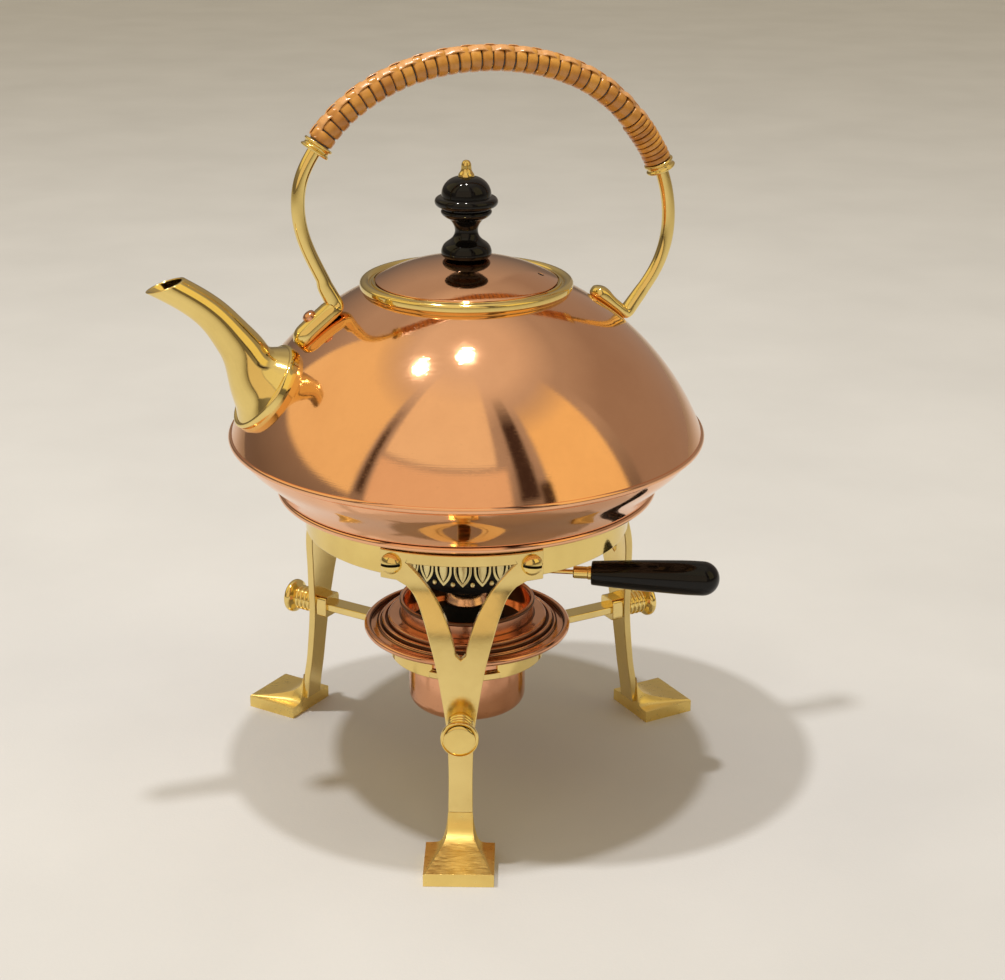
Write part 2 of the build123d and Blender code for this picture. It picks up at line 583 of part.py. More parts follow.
def lid_knob():
    """Turned knob: flared foot, waist, bead and domed top."""
    edges = [
        Polyline((STUD_R, 0, 194.55), (8.0, 0, 194.55), (8.3, 0, 194.7)),
        Spline(*xz(KNOB)),
        Polyline((8.8, 0, 212.4), (8.9, 0, 213.0), (8.9, 0, 215.8), (8.7, 0, 216.4)),
        Spline(*xz(KNOB_DOME)),
        Polyline((2.6, 0, 222.8), (STUD_R, 0, 222.8), (STUD_R, 0, 194.55)),
    ]
    r, z, w = KNOB_BEAD
    bead = revolve(Pos(r, 0, z) * (Rot(90, 0, 0) * Circle(w)), Axis.Z, 360)
    return turned(face_from(edges)) + bead - lid_dome()


def lid_finial():
    """Brass acorn with notched sides on a stud that holds the knob to the lid."""
    pts = [(0, 191.6), (2.8, 191.6), (2.8, 192.6), (STUD_R, 193.0), (STUD_R, 222.85), (2.8, 222.85),
           (2.85, 223.5), (2.3, 224.1), (1.75, 225.0), (1.65, 226.8), (1.35, 227.8), (0.7, 228.4), (0, 228.5)]
    body = revolve(make_face(Polyline(*xz(pts), close=True)), Axis.Z, 360)
    for angle in (15, 75, 135):
        body -= Rot(0, 0, angle) * Pos(0, 2.0, 226.6) * Box(0.5, 1.0, 3.4)
        body -= Rot(0, 0, angle) * Pos(0, -2.0, 226.6) * Box(0.5, 1.0, 3.4)
    return body - lid_dome() - lid_knob()


# ------------------------------------------------------------------ build
def save(shape, name):
    export_step(place(shape), f"parts/{name}.step")


def save_group(solids, name):
    export_step(Compound([place(s) for group in solids for s in group.solids()]), f"parts/{name}.step")


def build():
    os.makedirs("parts", exist_ok=True)
    one_leg = leg()
    one_arm = holder_arm(one_leg)
    one_thumb = thumb_screw()
    for side, angle in LEG_ANGLES.items():
        save(polar(angle) * one_leg, f"leg_{side}")
        save(polar(angle) * one_arm, f"holder_arm_{side}")
        save(polar(angle) * one_thumb, f"thumb_screw_{side}")
    for name, angle in (("front_right", 0), ("back", 120), ("front_left", 240)):
        save(hoop_segment(angle), f"hoop_{name}")
    screws = []
    for i, angle in enumerate(LEG_ANGLES.values()):
        for j, side in enumerate((-1, 1)):
            screw = ear_screw(side * EAR_SCREW_ANGLE, (4, -8, 20, -25, 60, 10)[2 * i + j])
            screws.append(polar(angle) * (screw - one_leg))
    save_group(screws, "hoop_screws")
    save(holder_band(), "holder_band")

    save(reservoir(), "burner_reservoir")
    save(saucer(), "burner_saucer")
    save(burner_cup(), "burner_cup")
    save(burner_neck(), "burner_neck")
    save(wick(), "wick")
    save(regulator_cap(), "regulator_cap")
    save(egg_band(), "regulator_band")
    save(regulator_rod(), "regulator_rod")
    save(regulator_ferrule(), "regulator_ferrule")
    save(regulator_grip(), "regulator_grip")

    turn = Rot(0, 0, KETTLE_TURN)
    save(turn * kettle_shoulder(), "kettle_shoulder")
    save(turn * kettle_lower(), "kettle_lower")
    save(turn * kettle_bottom(), "kettle_bottom")
    save(turn * kettle_collar(), "kettle_collar")
    save(turn * spout(), "spout")
    save(turn * bail_bar(), "bail_bar")
    save(turn * bail_rivets(), "bail_rivet")
    save_group([turn * c for c in bail_collars()], "bail_collars")
    save(turn * bail_wrap(), "bail_wrap")

    save(lid_dome(), "lid_dome")
    save(lid_plug(), "lid_plug")
    save(lid_knob(), "lid_knob")
    save(lid_finial(), "lid_finial")


if __name__ == "__main__":
    build()
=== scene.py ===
"""Dresses a copper and brass spirit kettle, its stand and its spirit burner.

Every piece is drawn in millimetres about its own axis and then placed in the frame, so that the
sizes below read as they would on a workshop drawing.
"""

import logging
import math
from dataclasses import dataclass, field
from enum import Enum

import bmesh
import bpy
import numpy as np
from mathutils import Matrix, Vector


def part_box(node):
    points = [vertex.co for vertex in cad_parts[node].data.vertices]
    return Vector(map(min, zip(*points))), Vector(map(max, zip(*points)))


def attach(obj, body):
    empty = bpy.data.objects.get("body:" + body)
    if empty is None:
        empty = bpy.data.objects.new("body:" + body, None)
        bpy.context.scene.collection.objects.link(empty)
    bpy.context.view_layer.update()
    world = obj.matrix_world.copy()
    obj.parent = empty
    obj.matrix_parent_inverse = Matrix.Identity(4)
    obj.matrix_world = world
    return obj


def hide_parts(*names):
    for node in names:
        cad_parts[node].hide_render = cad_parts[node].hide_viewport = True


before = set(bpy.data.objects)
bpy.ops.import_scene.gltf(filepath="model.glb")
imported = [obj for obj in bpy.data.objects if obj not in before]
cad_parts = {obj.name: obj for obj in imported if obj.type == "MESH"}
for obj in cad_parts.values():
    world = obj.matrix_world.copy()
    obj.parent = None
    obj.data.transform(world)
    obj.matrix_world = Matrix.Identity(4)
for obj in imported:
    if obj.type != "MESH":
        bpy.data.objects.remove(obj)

log = logging.getLogger("spirit_kettle")

MM = 0.001
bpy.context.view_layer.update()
LEG_ANGLES = {"front": 0.0, "right": 120.0, "left": 240.0}
KETTLE_TURN = 20.0

Point = tuple[float, float]
Colour = tuple[float, float, float]
Value = float | tuple | bpy.types.NodeSocket


class Corner(Enum):
    """How a piece's edges are shaded."""

    CRISP = 30.0
    SOFT = 50.0


class Wall(Enum):
    """The four edges of a run of plate."""

    LEFT = "left"
    RIGHT = "right"
    BOTTOM = "bottom"
    TOP = "top"


# ---------------------------------------------------------------- lines and outlines
def smooth_line(points: list, steps: int = 8, start: tuple | None = None, end: tuple | None = None) -> list:
    """Draws one even curve through points, in two or three dimensions.

    Args:
        points: The points that the curve passes.
        steps: Stretches between one point and the next.
        start: Direction at the first point, or None to leave it free.
        end: Direction at the last point, or None to leave it free.

    Returns:
        The points along the curve, ends included.
    """
    p = np.array(points, float)
    gap = np.linalg.norm(np.diff(p, axis=0), axis=1)
    n = len(p)
    system, wanted = np.zeros((n, n)), np.zeros_like(p)
    for i in range(1, n - 1):
        system[i, i - 1 : i + 2] = gap[i - 1], 2 * (gap[i - 1] + gap[i]), gap[i]
        wanted[i] = 6 * ((p[i + 1] - p[i]) / gap[i] - (p[i] - p[i - 1]) / gap[i - 1])
    system[0, 0] = system[-1, -1] = 1.0
    if start is not None:
        system[0, :2] = 2 * gap[0], gap[0]
        wanted[0] = 6 * ((p[1] - p[0]) / gap[0] - np.array(start) / np.linalg.norm(start))
    if end is not None:
        system[-1, -2:] = gap[-1], 2 * gap[-1]
        wanted[-1] = 6 * (np.array(end) / np.linalg.norm(end) - (p[-1] - p[-2]) / gap[-1])
    bend = np.linalg.solve(system, wanted)
    line = []
    for i in range(n - 1):
        for k in range(steps):
            b = k / steps
            a = 1 - b
            pull = ((a**3 - a) * bend[i] + (b**3 - b) * bend[i + 1]) * gap[i] ** 2 / 6
            line.append(tuple(a * p[i] + b * p[i + 1] + pull))
    return line + [tuple(p[-1])]


def pulled_curve(first: Point, near: Point, far: Point, last: Point, steps: int = 40) -> list:
    """Draws a curve between two ends with one pull from each.

    Args:
        first: First end.
        near: Pull of the first end.
        far: Pull of the last end.
        last: Last end.
        steps: Stretches along the curve.

    Returns:
        The points along the curve, ends included.
    """
    a, b, c, d = (np.array(q, float) for q in (first, near, far, last))
    line = []
    for i in range(steps + 1):
        t = i / steps
        u = 1 - t
        line.append(tuple(u**3 * a + 3 * u * u * t * b + 3 * u * t * t * c + t**3 * d))
    return line


def eased(corners: list, steps: int = 4) -> list:
    """Rounds the corners of an outline.

    Args:
        corners: (x, y) or (x, y, radius) for each corner, in order round the closed outline.
        steps: Stretches in each rounding.

    Returns:
        The outline's points.
    """
    line = []
    n = len(corners)
    for i, corner in enumerate(corners):
        if len(corner) < 3:
            line.append(tuple(corner))
            continue
        at = np.array(corner[:2], float)
        back = np.array(corners[i - 1][:2], float) - at
        ahead = np.array(corners[(i + 1) % n][:2], float) - at
        reach = min(corner[2], 0.49 * np.linalg.norm(back), 0.49 * np.linalg.norm(ahead))
        a = at + back / np.linalg.norm(back) * reach
        b = at + ahead / np.linalg.norm(ahead) * reach
        for k in range(steps + 1):
            t = k / steps
            line.append(tuple((1 - t) ** 2 * a + 2 * t * (1 - t) * at + t * t * b))
    return line


def arc(centre: Point, radius: float, start: float, end: float, steps: int = 10) -> list:
    """Points along an arc, with angles in degrees from the X direction."""
    turns = (math.radians(start + (end - start) * i / steps) for i in range(steps + 1))
    return [(centre[0] + radius * math.cos(t), centre[1] + radius * math.sin(t)) for t in turns]


def domed_head(radius: float, edge: float, rise: float, step: int, first: int = 0) -> list:
    """Outline of a round head's dome, from its edge to its top on the axis.

    Args:
        radius: Radius of the head.
        edge: Height of the dome's edge.
        rise: Height of the dome above its edge.
        step: Degrees between points.
        first: Degrees of the first point.

    Returns:
        The (radius, height) points.
    """
    turns = (math.radians(a) for a in range(first, 90, step))
    return [(radius * math.cos(t), edge + rise * math.sin(t)) for t in turns] + [(0.0, edge + rise)]


# ---------------------------------------------------------------- placing
def axis_of(node: str) -> Vector:
    """The upright axis of a round node, as the middle of its box on the floor."""
    low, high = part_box(node)
    middle = (low + high) / 2
    return Vector((middle.x, middle.y, 0.0))


AXIS = axis_of("lid_finial")


def upright(angle: float = 0.0) -> Matrix:
    """Places a piece drawn about the kettle's axis, turned by an angle in degrees."""
    return Matrix.Translation(AXIS) @ Matrix.Rotation(math.radians(angle), 4, "Z") @ Matrix.Scale(MM, 4)


def lying(angle: float, height: float) -> Matrix:
    """Places a piece drawn about Z so that Z points outwards at an angle from the front.

    Args:
        angle: Direction in degrees, from the front leg round to the right.
        height: Height of the piece's axis in millimetres.

    Returns:
        The placing matrix.
    """
    lift = Matrix.Translation((0, 0, height))
    return upright(angle) @ lift @ Matrix.Rotation(math.radians(90), 4, "X")


# ---------------------------------------------------------------- meshes
@dataclass
class Shape:
    """Corner points and faces of one piece, in millimetres."""

    points: list = field(default_factory=list)
    faces: list = field(default_factory=list)

    def add(self, points: list, faces: list) -> None:
        """Adds another closed form to this shape."""
        base = len(self.points)
        self.points += [tuple(p) for p in points]
        self.faces += [tuple(base + i for i in f) for f in faces]

    def grid(self, rows: list, loop: bool = False, wrap: bool = False) -> None:
        """Adds a sheet of quads from rows of points.

        Args:
            rows: Rows with the same number of points in each.
            loop: Whether a row's last point joins its first.
            wrap: Whether the last row joins the first.
        """
        n, m = len(rows), len(rows[0])
        faces = []
        for i in range(n if wrap else n - 1):
            for j in range(m if loop else m - 1):
                a, b = i * m + j, i * m + (j + 1) % m
                c, d = ((i + 1) % n) * m + (j + 1) % m, ((i + 1) % n) * m + j
                faces.append((a, b, c, d))
        self.add([p for row in rows for p in row], faces)

    def rod(self, rings: list) -> None:
        """Adds a form through rings of points, with a flat face over each end."""
        self.grid(rings, loop=True)
        for ring in (rings[0], rings[-1]):
            self.add(ring, [tuple(range(len(ring)))])

    def join(self, other: "Shape", shift: tuple = (0.0, 0.0, 0.0)) -> None:
        """Adds another shape, moved aside by a shift."""
        dx, dy, dz = shift
        self.add([(x + dx, y + dy, z + dz) for x, y, z in other.points], other.faces)

    def mesh(self, name: str, matrix: Matrix, corner: Corner = Corner.CRISP) -> bpy.types.Object:
        """Makes the object, with doubles merged and faces turned outwards.

        Args:
            name: Name of the object.
            matrix: Placing of the shape.
            corner: How its edges are shaded.

        Returns:
            The new object, linked to the scene.
        """
        data = bpy.data.meshes.new(name)
        data.from_pydata([matrix @ Vector(p) for p in self.points], [], self.faces)
        bm = bmesh.new()
        bm.from_mesh(data)
        bmesh.ops.remove_doubles(bm, verts=bm.verts, dist=2e-6)
        bmesh.ops.dissolve_degenerate(bm, dist=1e-6, edges=bm.edges)
        bmesh.ops.recalc_face_normals(bm, faces=bm.faces)
        bm.to_mesh(data)
        bm.free()
        data.shade_smooth()
        data.set_sharp_from_angle(angle=math.radians(corner.value))
        piece = bpy.data.objects.new(name, data)
        bpy.context.scene.collection.objects.link(piece)
        return piece


def turned(outline: list, segments: int = 160) -> Shape:
    """Turns a closed outline about Z.

    Args:
        outline: (distance from the axis, height) points. Points on the axis close the form.
        segments: Facets round the axis.

    Returns:
        The turned shape.
    """
    shape = Shape()
    rows = []
    for r, z in outline:
        r = max(r, 0.0)
        rows.append([(r * math.sin(t), -r * math.cos(t), z)
                     for t in (2 * math.pi * k / segments for k in range(segments))])
    on_axis = outline[0][0] < 1e-6 and outline[-1][0] < 1e-6
    shape.grid(rows, loop=True, wrap=not on_axis)
    return shape


def bar_section(inner: float, outer: float, low: float, high: float, angle: float) -> list:
    """Four corners of an upright flat bar's section, at an angle in degrees from the front."""
    t = math.radians(angle)
    s, c = math.sin(t), -math.cos(t)
    return [(inner * s, inner * c, low), (outer * s, outer * c, low),
            (outer * s, outer * c, high), (inner * s, inner * c, high)]


def bent_bar(inner: float, outer: float, low: float, high: float, first: float, last: float,
             steps: int) -> Shape:
    """A flat bar bent round the axis, closed at its ends.

    Args:
        inner: Inner radius.
        outer: Outer radius.
        low: Bottom height.
        high: Top height.
        first: Angle of one end, in degrees from the front.
        last: Angle of the other end.
        steps: Facets along the bar.

    Returns:
        The bar.
    """
    shape = Shape()
    shape.rod([bar_section(inner, outer, low, high, first + (last - first) * i / steps)
               for i in range(steps + 1)])
    return shape


def block(low: tuple, high: tuple) -> Shape:
    """A square block between two corners."""
    (x0, y0, z0), (x1, y1, z1) = low, high
    bottom = [(x0, y0, z0), (x1, y0, z0), (x1, y1, z0), (x0, y1, z0)]
    top = [(x, y, z1) for x, y, _ in bottom]
    shape = Shape()
    shape.rod([bottom, top])
    return shape


def swept(path: list, sections: list, side: tuple) -> Shape:
    """Sweeps changing sections along a flat path.

    Args:
        path: Points of the path, all in one plane.
        sections: For each point of the path, a ring of (in the path's plane, across it) offsets.
        side: Direction across the path's plane.

    Returns:
        The swept shape, closed at both ends.
    """
    p = np.array(path, float)
    heading = np.gradient(p, axis=0)
    heading /= np.linalg.norm(heading, axis=1)[:, None]
    across = np.array(side, float)
    rows = []
    for at, ahead, ring in zip(p, heading, sections):
        up = np.cross(across, ahead)
        rows.append([tuple(at + u * up + v * across) for u, v in ring])
    shape = Shape()
    shape.rod(rows)
    return shape


def ellipse_ring(half_up: float, half_across: float, count: int = 28, square: float = 2.0) -> list:
    """A ring of offsets round an oval, squarer as square grows past two."""
    ring = []
    for k in range(count):
        t = 2 * math.pi * k / count
        c, s = math.cos(t), math.sin(t)
        ring.append((half_up * math.copysign(abs(c) ** (2 / square), c),
                     half_across * math.copysign(abs(s) ** (2 / square), s)))
    return ring


def soften(piece: bpy.types.Object, width: float, segments: int = 3, angle: float = 40.0) -> None:
    """Eases a piece's sharp edges and keeps its flats flat.

    Args:
        piece: The object.
        width: Width of the eased edge in millimetres.
        segments: Facets across the eased edge.
        angle: Edges turning more than this are eased, in degrees.
    """
    if width > 0:
        bevel = piece.modifiers.new("eased edges", "BEVEL")
        bevel.width = width * MM
        bevel.segments = segments
        bevel.limit_method = "ANGLE"
        bevel.angle_limit = math.radians(angle)
        bevel.use_clamp_overlap = True
    flats = piece.modifiers.new("flat faces", "WEIGHTED_NORMAL")
    flats.keep_sharp = True
    flats.weight = 80


def cut_away(piece: bpy.types.Object, tool: bpy.types.Object) -> None:
    """Cuts a tool's shape out of a piece, and uses the tool up."""
    name = piece.data.name
    cut = piece.modifiers.new("cut", "BOOLEAN")
    cut.object = tool
    cut.operation = "DIFFERENCE"
    cut.solver = "EXACT"
    ready = piece.evaluated_get(bpy.context.evaluated_depsgraph_get())
    mesh = bpy.data.meshes.new_from_object(ready)
    piece.modifiers.clear()
    piece.data = mesh
    mesh.name = name
    bpy.data.objects.remove(tool)


# ---------------------------------------------------------------- finishes
class Graph:
    """Short calls for making and joining the nodes of one tree."""

    def __init__(self, tree: bpy.types.NodeTree) -> None:
        """Starts with the tree emptied."""
        self.tree = tree
        self.tree.nodes.clear()

    def node(self, kind: str, **settings) -> bpy.types.Node:
        """Adds a node and sets its properties."""
        made = self.tree.nodes.new(kind)
        for key, value in settings.items():
            setattr(made, key, value)
        return made

    def join(self, source: bpy.types.NodeSocket, target: bpy.types.NodeSocket) -> None:
        """Links an output to an input."""
        self.tree.links.new(source, target)

    def feed(self, value: Value, socket: bpy.types.NodeSocket) -> None:
        """Gives a socket a constant or a link."""
        if isinstance(value, bpy.types.NodeSocket):
            self.join(value, socket)
        else:
            socket.default_value = value

    def place(self, centre: Vector = Vector((0, 0, 0)), scale: tuple = (1, 1, 1),
              turn: tuple = (0, 0, 0)) -> bpy.types.NodeSocket:
        """Object coordinates about a centre, stretched by scale and turned."""
        coordinates = self.node("ShaderNodeTexCoord").outputs["Object"]
        shift = self.node("ShaderNodeVectorMath", operation="SUBTRACT")
        self.join(coordinates, shift.inputs[0])
        shift.inputs[1].default_value = centre
        mapping = self.node("ShaderNodeMapping")
        self.join(shift.outputs[0], mapping.inputs["Vector"])
        mapping.inputs["Rotation"].default_value = turn
        mapping.inputs["Scale"].default_value = scale
        return mapping.outputs[0]

    def math(self, operation: str, a: Value, b: Value = 0.0, c: Value = 0.0) -> bpy.types.NodeSocket:
        """One step of arithmetic."""
        made = self.node("ShaderNodeMath", operation=operation)
        for value, socket in zip((a, b, c), made.inputs):
            self.feed(value, socket)
        return made.outputs[0]

    def noise(self, vector: bpy.types.NodeSocket, scale: float, detail: float = 3.0,
              rough: float = 0.5) -> bpy.types.NodeSocket:
        """Cloudy noise from nought to one."""
        made = self.node("ShaderNodeTexNoise")
        self.join(vector, made.inputs["Vector"])
        made.inputs["Scale"].default_value = scale
        made.inputs["Detail"].default_value = detail
        made.inputs["Roughness"].default_value = rough
        return made.outputs["Fac"]

    def ramp(self, value: Value, low: float, high: float, out_low: float = 0.0,
             out_high: float = 1.0) -> bpy.types.NodeSocket:
        """Spreads the range low to high over another range, clamped."""
        made = self.node("ShaderNodeMapRange")
        for item, socket in zip((value, low, high, out_low, out_high), made.inputs):
            self.feed(item, socket)
        return made.outputs[0]

    def blend(self, factor: Value, a: Value, b: Value) -> bpy.types.NodeSocket:
        """Mixes two colours."""
        made = self.node("ShaderNodeMix", data_type="RGBA")
        self.feed(factor, made.inputs["Factor"])
        for value, socket in ((a, made.inputs[6]), (b, made.inputs[7])):
            self.feed((*value, 1.0) if isinstance(value, tuple) else value, socket)
        return made.outputs[2]

    def bump(self, height: bpy.types.NodeSocket, strength: float, distance: float,
             under: bpy.types.NodeSocket | None = None) -> bpy.types.NodeSocket:
        """Raises the surface by a height, on top of another bump if one is given."""
        made = self.node("ShaderNodeBump")
        made.inputs["Strength"].default_value = strength
        made.inputs["Distance"].default_value = distance
        self.join(height, made.inputs["Height"])
        if under is not None:
            self.join(under, made.inputs["Normal"])
        return made.outputs[0]


@dataclass(frozen=True)
class Finish:
    """A ready material and the name of the record's material slot that it stands for."""

    material: bpy.types.Material
    slot: str


class Skin(Graph):
    """The node tree of one material, with its shader and output."""

    def __init__(self, name: str) -> None:
        """Starts an empty material."""
        self.material = bpy.data.materials.new(name)
        self.material.use_nodes = True
        super().__init__(self.material.node_tree)
        self.shader = self.node("ShaderNodeBsdfPrincipled")
        out = self.node("ShaderNodeOutputMaterial")
        self.join(self.shader.outputs[0], out.inputs[0])

    def set(self, **values: Value) -> None:
        """Sets the shader's sockets, with _ for a space in their names."""
        for key, value in values.items():
            socket = self.shader.inputs[key.replace("_", " ")]
            if isinstance(value, tuple) and len(value) == 3:
                value = (*value, 1.0)
            self.feed(value, socket)


@dataclass(frozen=True)
class Metal:
    """Polished or cast metal with wear.

    Attributes:
        name: Material name.
        slot: The record's material slot.
        bright: Colour of the clean metal.
        dull: Colour where it is tarnished.
        rough: Roughness of the clean metal.
        lathe: Strength of the fine turning lines round the axis.
        waves: Strength of the slow unevenness that bends reflections.
        tarnish: How much of the dull colour shows.
        shaded_grooves: (radius, half width) in millimetres of rings about the axis painted near-black as
            shade.
        shade_inside: (radius, height) in millimetres inside and above which it is painted near-black as
            shade.
    """

    name: str
    slot: str
    bright: Colour
    dull: Colour
    rough: float = 0.12
    lathe: float = 0.0
    waves: float = 0.1
    tarnish: float = 0.35
    shaded_grooves: tuple = ()
    shade_inside: Point | None = None

    def build(self) -> Finish:
        """Makes the material."""
        g = Skin(self.name)
        at = g.place(AXIS)
        stain = g.ramp(g.noise(at, 38.0, 6.0, 0.62), 0.42, 0.72)
        specks = g.ramp(g.noise(at, 900.0, 2.0, 0.5), 0.66, 0.78)
        worn = g.math("MULTIPLY", stain, self.tarnish)
        spotted = g.math("MAXIMUM", worn, g.math("MULTIPLY", specks, self.tarnish * 0.8))
        split = g.node("ShaderNodeSeparateXYZ")
        g.join(at, split.inputs[0])
        x, y, z = split.outputs
        radius = g.math("SQRT", g.math("ADD", g.math("MULTIPLY", x, x), g.math("MULTIPLY", y, y)))
        cross = g.noise(g.place(AXIS, (1.0, 6.0, 2.0), (0.3, 0.5, 0.9)), 260.0, 4.0, 0.7)
        polish = g.ramp(cross, 0.35, 0.7, self.rough * 0.75, self.rough * 1.35)
        height = g.noise(at, 42.0, 1.0, 0.4)
        normal = g.bump(height, self.waves, 0.0012)
        scratch = g.ramp(g.noise(g.place(AXIS, (1.0, 14.0, 14.0), (0.2, 0.1, 0.7)), 220.0, 3.0, 0.6),
                         0.60, 0.68)
        normal = g.bump(scratch, 0.05, 0.00004, normal)
        if self.lathe > 0:
            along = g.math("SUBTRACT", z, radius)
            lines = g.node("ShaderNodeTexNoise", noise_dimensions="1D")
            g.join(along, lines.inputs["W"])
            lines.inputs["Scale"].default_value = 1500.0
            lines.inputs["Detail"].default_value = 4.0
            patches = g.ramp(g.noise(at, 30.0, 2.0), 0.35, 0.65, 0.25, 1.0)
            normal = g.bump(g.math("MULTIPLY", lines.outputs["Fac"], patches), self.lathe, 0.00008, normal)
            polish = g.math("ADD", polish, g.math("MULTIPLY", lines.outputs["Fac"], self.lathe * 0.25))
        colour = g.blend(spotted, self.bright, self.dull)
        # Painted shade: near-black rings in the grooves and a near-black inside of the cup under the cap.
        painted_shade = 0.0
        for middle, half in self.shaded_grooves:
            away = g.math("ABSOLUTE", g.math("SUBTRACT", radius, middle * MM))
            painted_shade = g.math("MAXIMUM", painted_shade, g.ramp(away, half * 0.5 * MM, half * 1.6 * MM, 0.85, 0.0))
        # Painted shade inside the cup, under the cap.
        if self.shade_inside:
            inside = g.ramp(radius, self.shade_inside[0] * MM, (self.shade_inside[0] + 0.4) * MM, 1.0, 0.0)
            above = g.ramp(z, self.shade_inside[1] * MM, (self.shade_inside[1] + 0.4) * MM)
            painted_shade = g.math("MAXIMUM", painted_shade, g.math("MULTIPLY", inside, above))
        if self.shaded_grooves or self.shade_inside:
            colour = g.blend(painted_shade, colour, (0.030, 0.017, 0.011))
            polish = g.math("ADD", polish, g.math("MULTIPLY", painted_shade, 0.35))
        g.set(Base_Color=colour, Metallic=1.0,
              Roughness=g.math("ADD", polish, g.math("MULTIPLY", worn, 0.12)), Normal=normal)
        return Finish(g.material, self.slot)


@dataclass(frozen=True)
class Black:
    """Black polish over turned wood or metal.

    Attributes:
        name: Material name.
        slot: The record's material slot.
        tone: Base colour.
        rough: Roughness of the polish.
        grain: Strength of the grain that shows through.
        coat: Strength of the clear coat.
    """

    name: str
    slot: str
    tone: Colour
    rough: float
    grain: float
    coat: float = 0.6

    def build(self) -> Finish:
        """Makes the material."""
        g = Skin(self.name)
        streaks = g.noise(g.place(AXIS, (0.12, 1.0, 1.0)), 700.0, 4.0, 0.6)
        smear = g.noise(g.place(AXIS), 90.0, 3.0)
        brown = tuple(min(1.0, c * 1.8 + 0.001) for c in self.tone)
        g.set(Base_Color=g.blend(g.ramp(streaks, 0.45, 0.8), self.tone, brown),
              Roughness=g.ramp(smear, 0.3, 0.7, self.rough * 0.8, self.rough * 1.5),
              Normal=g.bump(streaks, self.grain, 0.00006), Coat_Weight=self.coat,
              Coat_Roughness=0.04, IOR=1.28)
        return Finish(g.material, self.slot)


@dataclass(frozen=True)
class Cane:
    """Split cane with a varnished skin."""

    name: str = "varnished cane"
    slot: str = "cane"

    def build(self) -> Finish:
        """Makes the material."""
        g = Skin(self.name)
        tone = g.node("ShaderNodeAttribute", attribute_name="tone").outputs["Fac"]
        at = g.place(AXIS)
        fibre = g.noise(at, 1500.0, 4.0, 0.65)
        blotch = g.noise(at, 140.0, 3.0, 0.6)
        gold = g.blend(g.ramp(tone, 0.0, 1.0), (0.66, 0.32, 0.055), (0.50, 0.21, 0.032))
        aged = g.blend(g.ramp(blotch, 0.45, 0.75, 0.0, 0.8), gold, (0.36, 0.13, 0.02))
        pink = g.blend(g.ramp(fibre, 0.3, 0.7), (0.64, 0.34, 0.13), (0.54, 0.25, 0.08))
        skin = g.blend(g.ramp(tone, -0.6, -0.4, 1.0, 0.0), aged, pink)
        streaked = g.blend(g.ramp(fibre, 0.62, 0.8, 0.0, 0.4), skin, (0.26, 0.10, 0.02))
        # Tone above 1.5 is painted near-black: the tube under the coils, painted shade in their gaps.
        final = g.blend(g.ramp(tone, 1.4, 1.6), streaked, (0.030, 0.014, 0.006))
        g.set(Base_Color=final, Roughness=g.ramp(blotch, 0.3, 0.7, 0.24, 0.42),
              Normal=g.bump(fibre, 0.2, 0.0001), Coat_Weight=0.5, Coat_Roughness=0.15)
        return Finish(g.material, self.slot)


@dataclass(frozen=True)
class Cotton:
    """Loose cotton of the wick."""

    name: str = "cotton wick"
    slot: str = "wick_cotton"

    def build(self) -> Finish:
        """Makes the material."""
        g = Skin(self.name)
        threads = g.noise(g.place(AXIS, (1.0, 1.0, 0.2)), 1500.0, 4.0)
        g.set(Base_Color=g.blend(threads, (0.62, 0.56, 0.46), (0.30, 0.24, 0.17)), Roughness=0.9,
              Normal=g.bump(threads, 0.6, 0.0003))
        return Finish(g.material, self.slot)


@dataclass(frozen=True)
class FinishSet:
    """Every finish, made once."""

    copper: Finish
    warm_copper: Finish
    neck_copper: Finish
    brass: Finish
    cast_brass: Finish
    foot_brass: Finish
    relief_brass: Finish
    black: Finish
    black_metal: Finish
    cane: Finish
    cotton: Finish

    @classmethod
    def build(cls) -> "FinishSet":
        """Makes all the materials."""
        return cls(
            copper=Metal("polished copper", "copper", bright=(0.93, 0.51, 0.29), dull=(0.62, 0.28, 0.15),
                         rough=0.045, lathe=0.07, waves=0.05, tarnish=0.20).build(),
            warm_copper=Metal("burner copper", "copper_dark", bright=(0.84, 0.43, 0.25),
                              dull=(0.42, 0.17, 0.08), rough=0.10, lathe=0.05, waves=0.08, tarnish=0.55,
                              # The grooves and the inside of the cup get painted shade.
                              shaded_grooves=((25.1, 0.25), (29.9, 0.4), (32.0, 0.25), (33.5, 0.2), (36.2, 0.35)),
                              shade_inside=(21.5, 54.6)).build(),
            # Painted light: a lighter copy of the burner copper, so the ring under the cap reads lit.
            neck_copper=Metal("neck copper", "copper_dark", bright=(0.96, 0.56, 0.33),
                              dull=(0.60, 0.28, 0.15), rough=0.24, lathe=0.05, waves=0.08,
                              tarnish=0.2).build(),
            brass=Metal("polished brass", "brass", bright=(0.88, 0.68, 0.25), dull=(0.52, 0.33, 0.08),
                        rough=0.07, waves=0.06, tarnish=0.25).build(),
            cast_brass=Metal("cast brass", "brass", bright=(0.86, 0.67, 0.27), dull=(0.54, 0.36, 0.10),
                             rough=0.17, waves=0.05, tarnish=0.30).build(),
            # Painted light: a lighter copy of the cast brass, so the feet read brightly lit.
            foot_brass=Metal("foot brass", "brass", bright=(0.94, 0.72, 0.25), dull=(0.62, 0.43, 0.12),
                             rough=0.34, waves=0.04, tarnish=0.30).build(),
            relief_brass=Metal("relief brass", "brass", bright=(0.84, 0.72, 0.36), dull=(0.52, 0.38, 0.14),
                               rough=0.34, waves=0.05, tarnish=0.35).build(),
            black=Black("ebonised wood", "ebonised_wood", tone=(0.004, 0.0035, 0.0035), rough=0.06,
                        grain=0.03, coat=0.12).build(),
            black_metal=Black("blackened metal", "black_metal", tone=(0.0040, 0.0036, 0.0034), rough=0.55,
                              grain=0.2, coat=0.0).build(),
            cane=Cane().build(),
            cotton=Cotton().build(),
        )


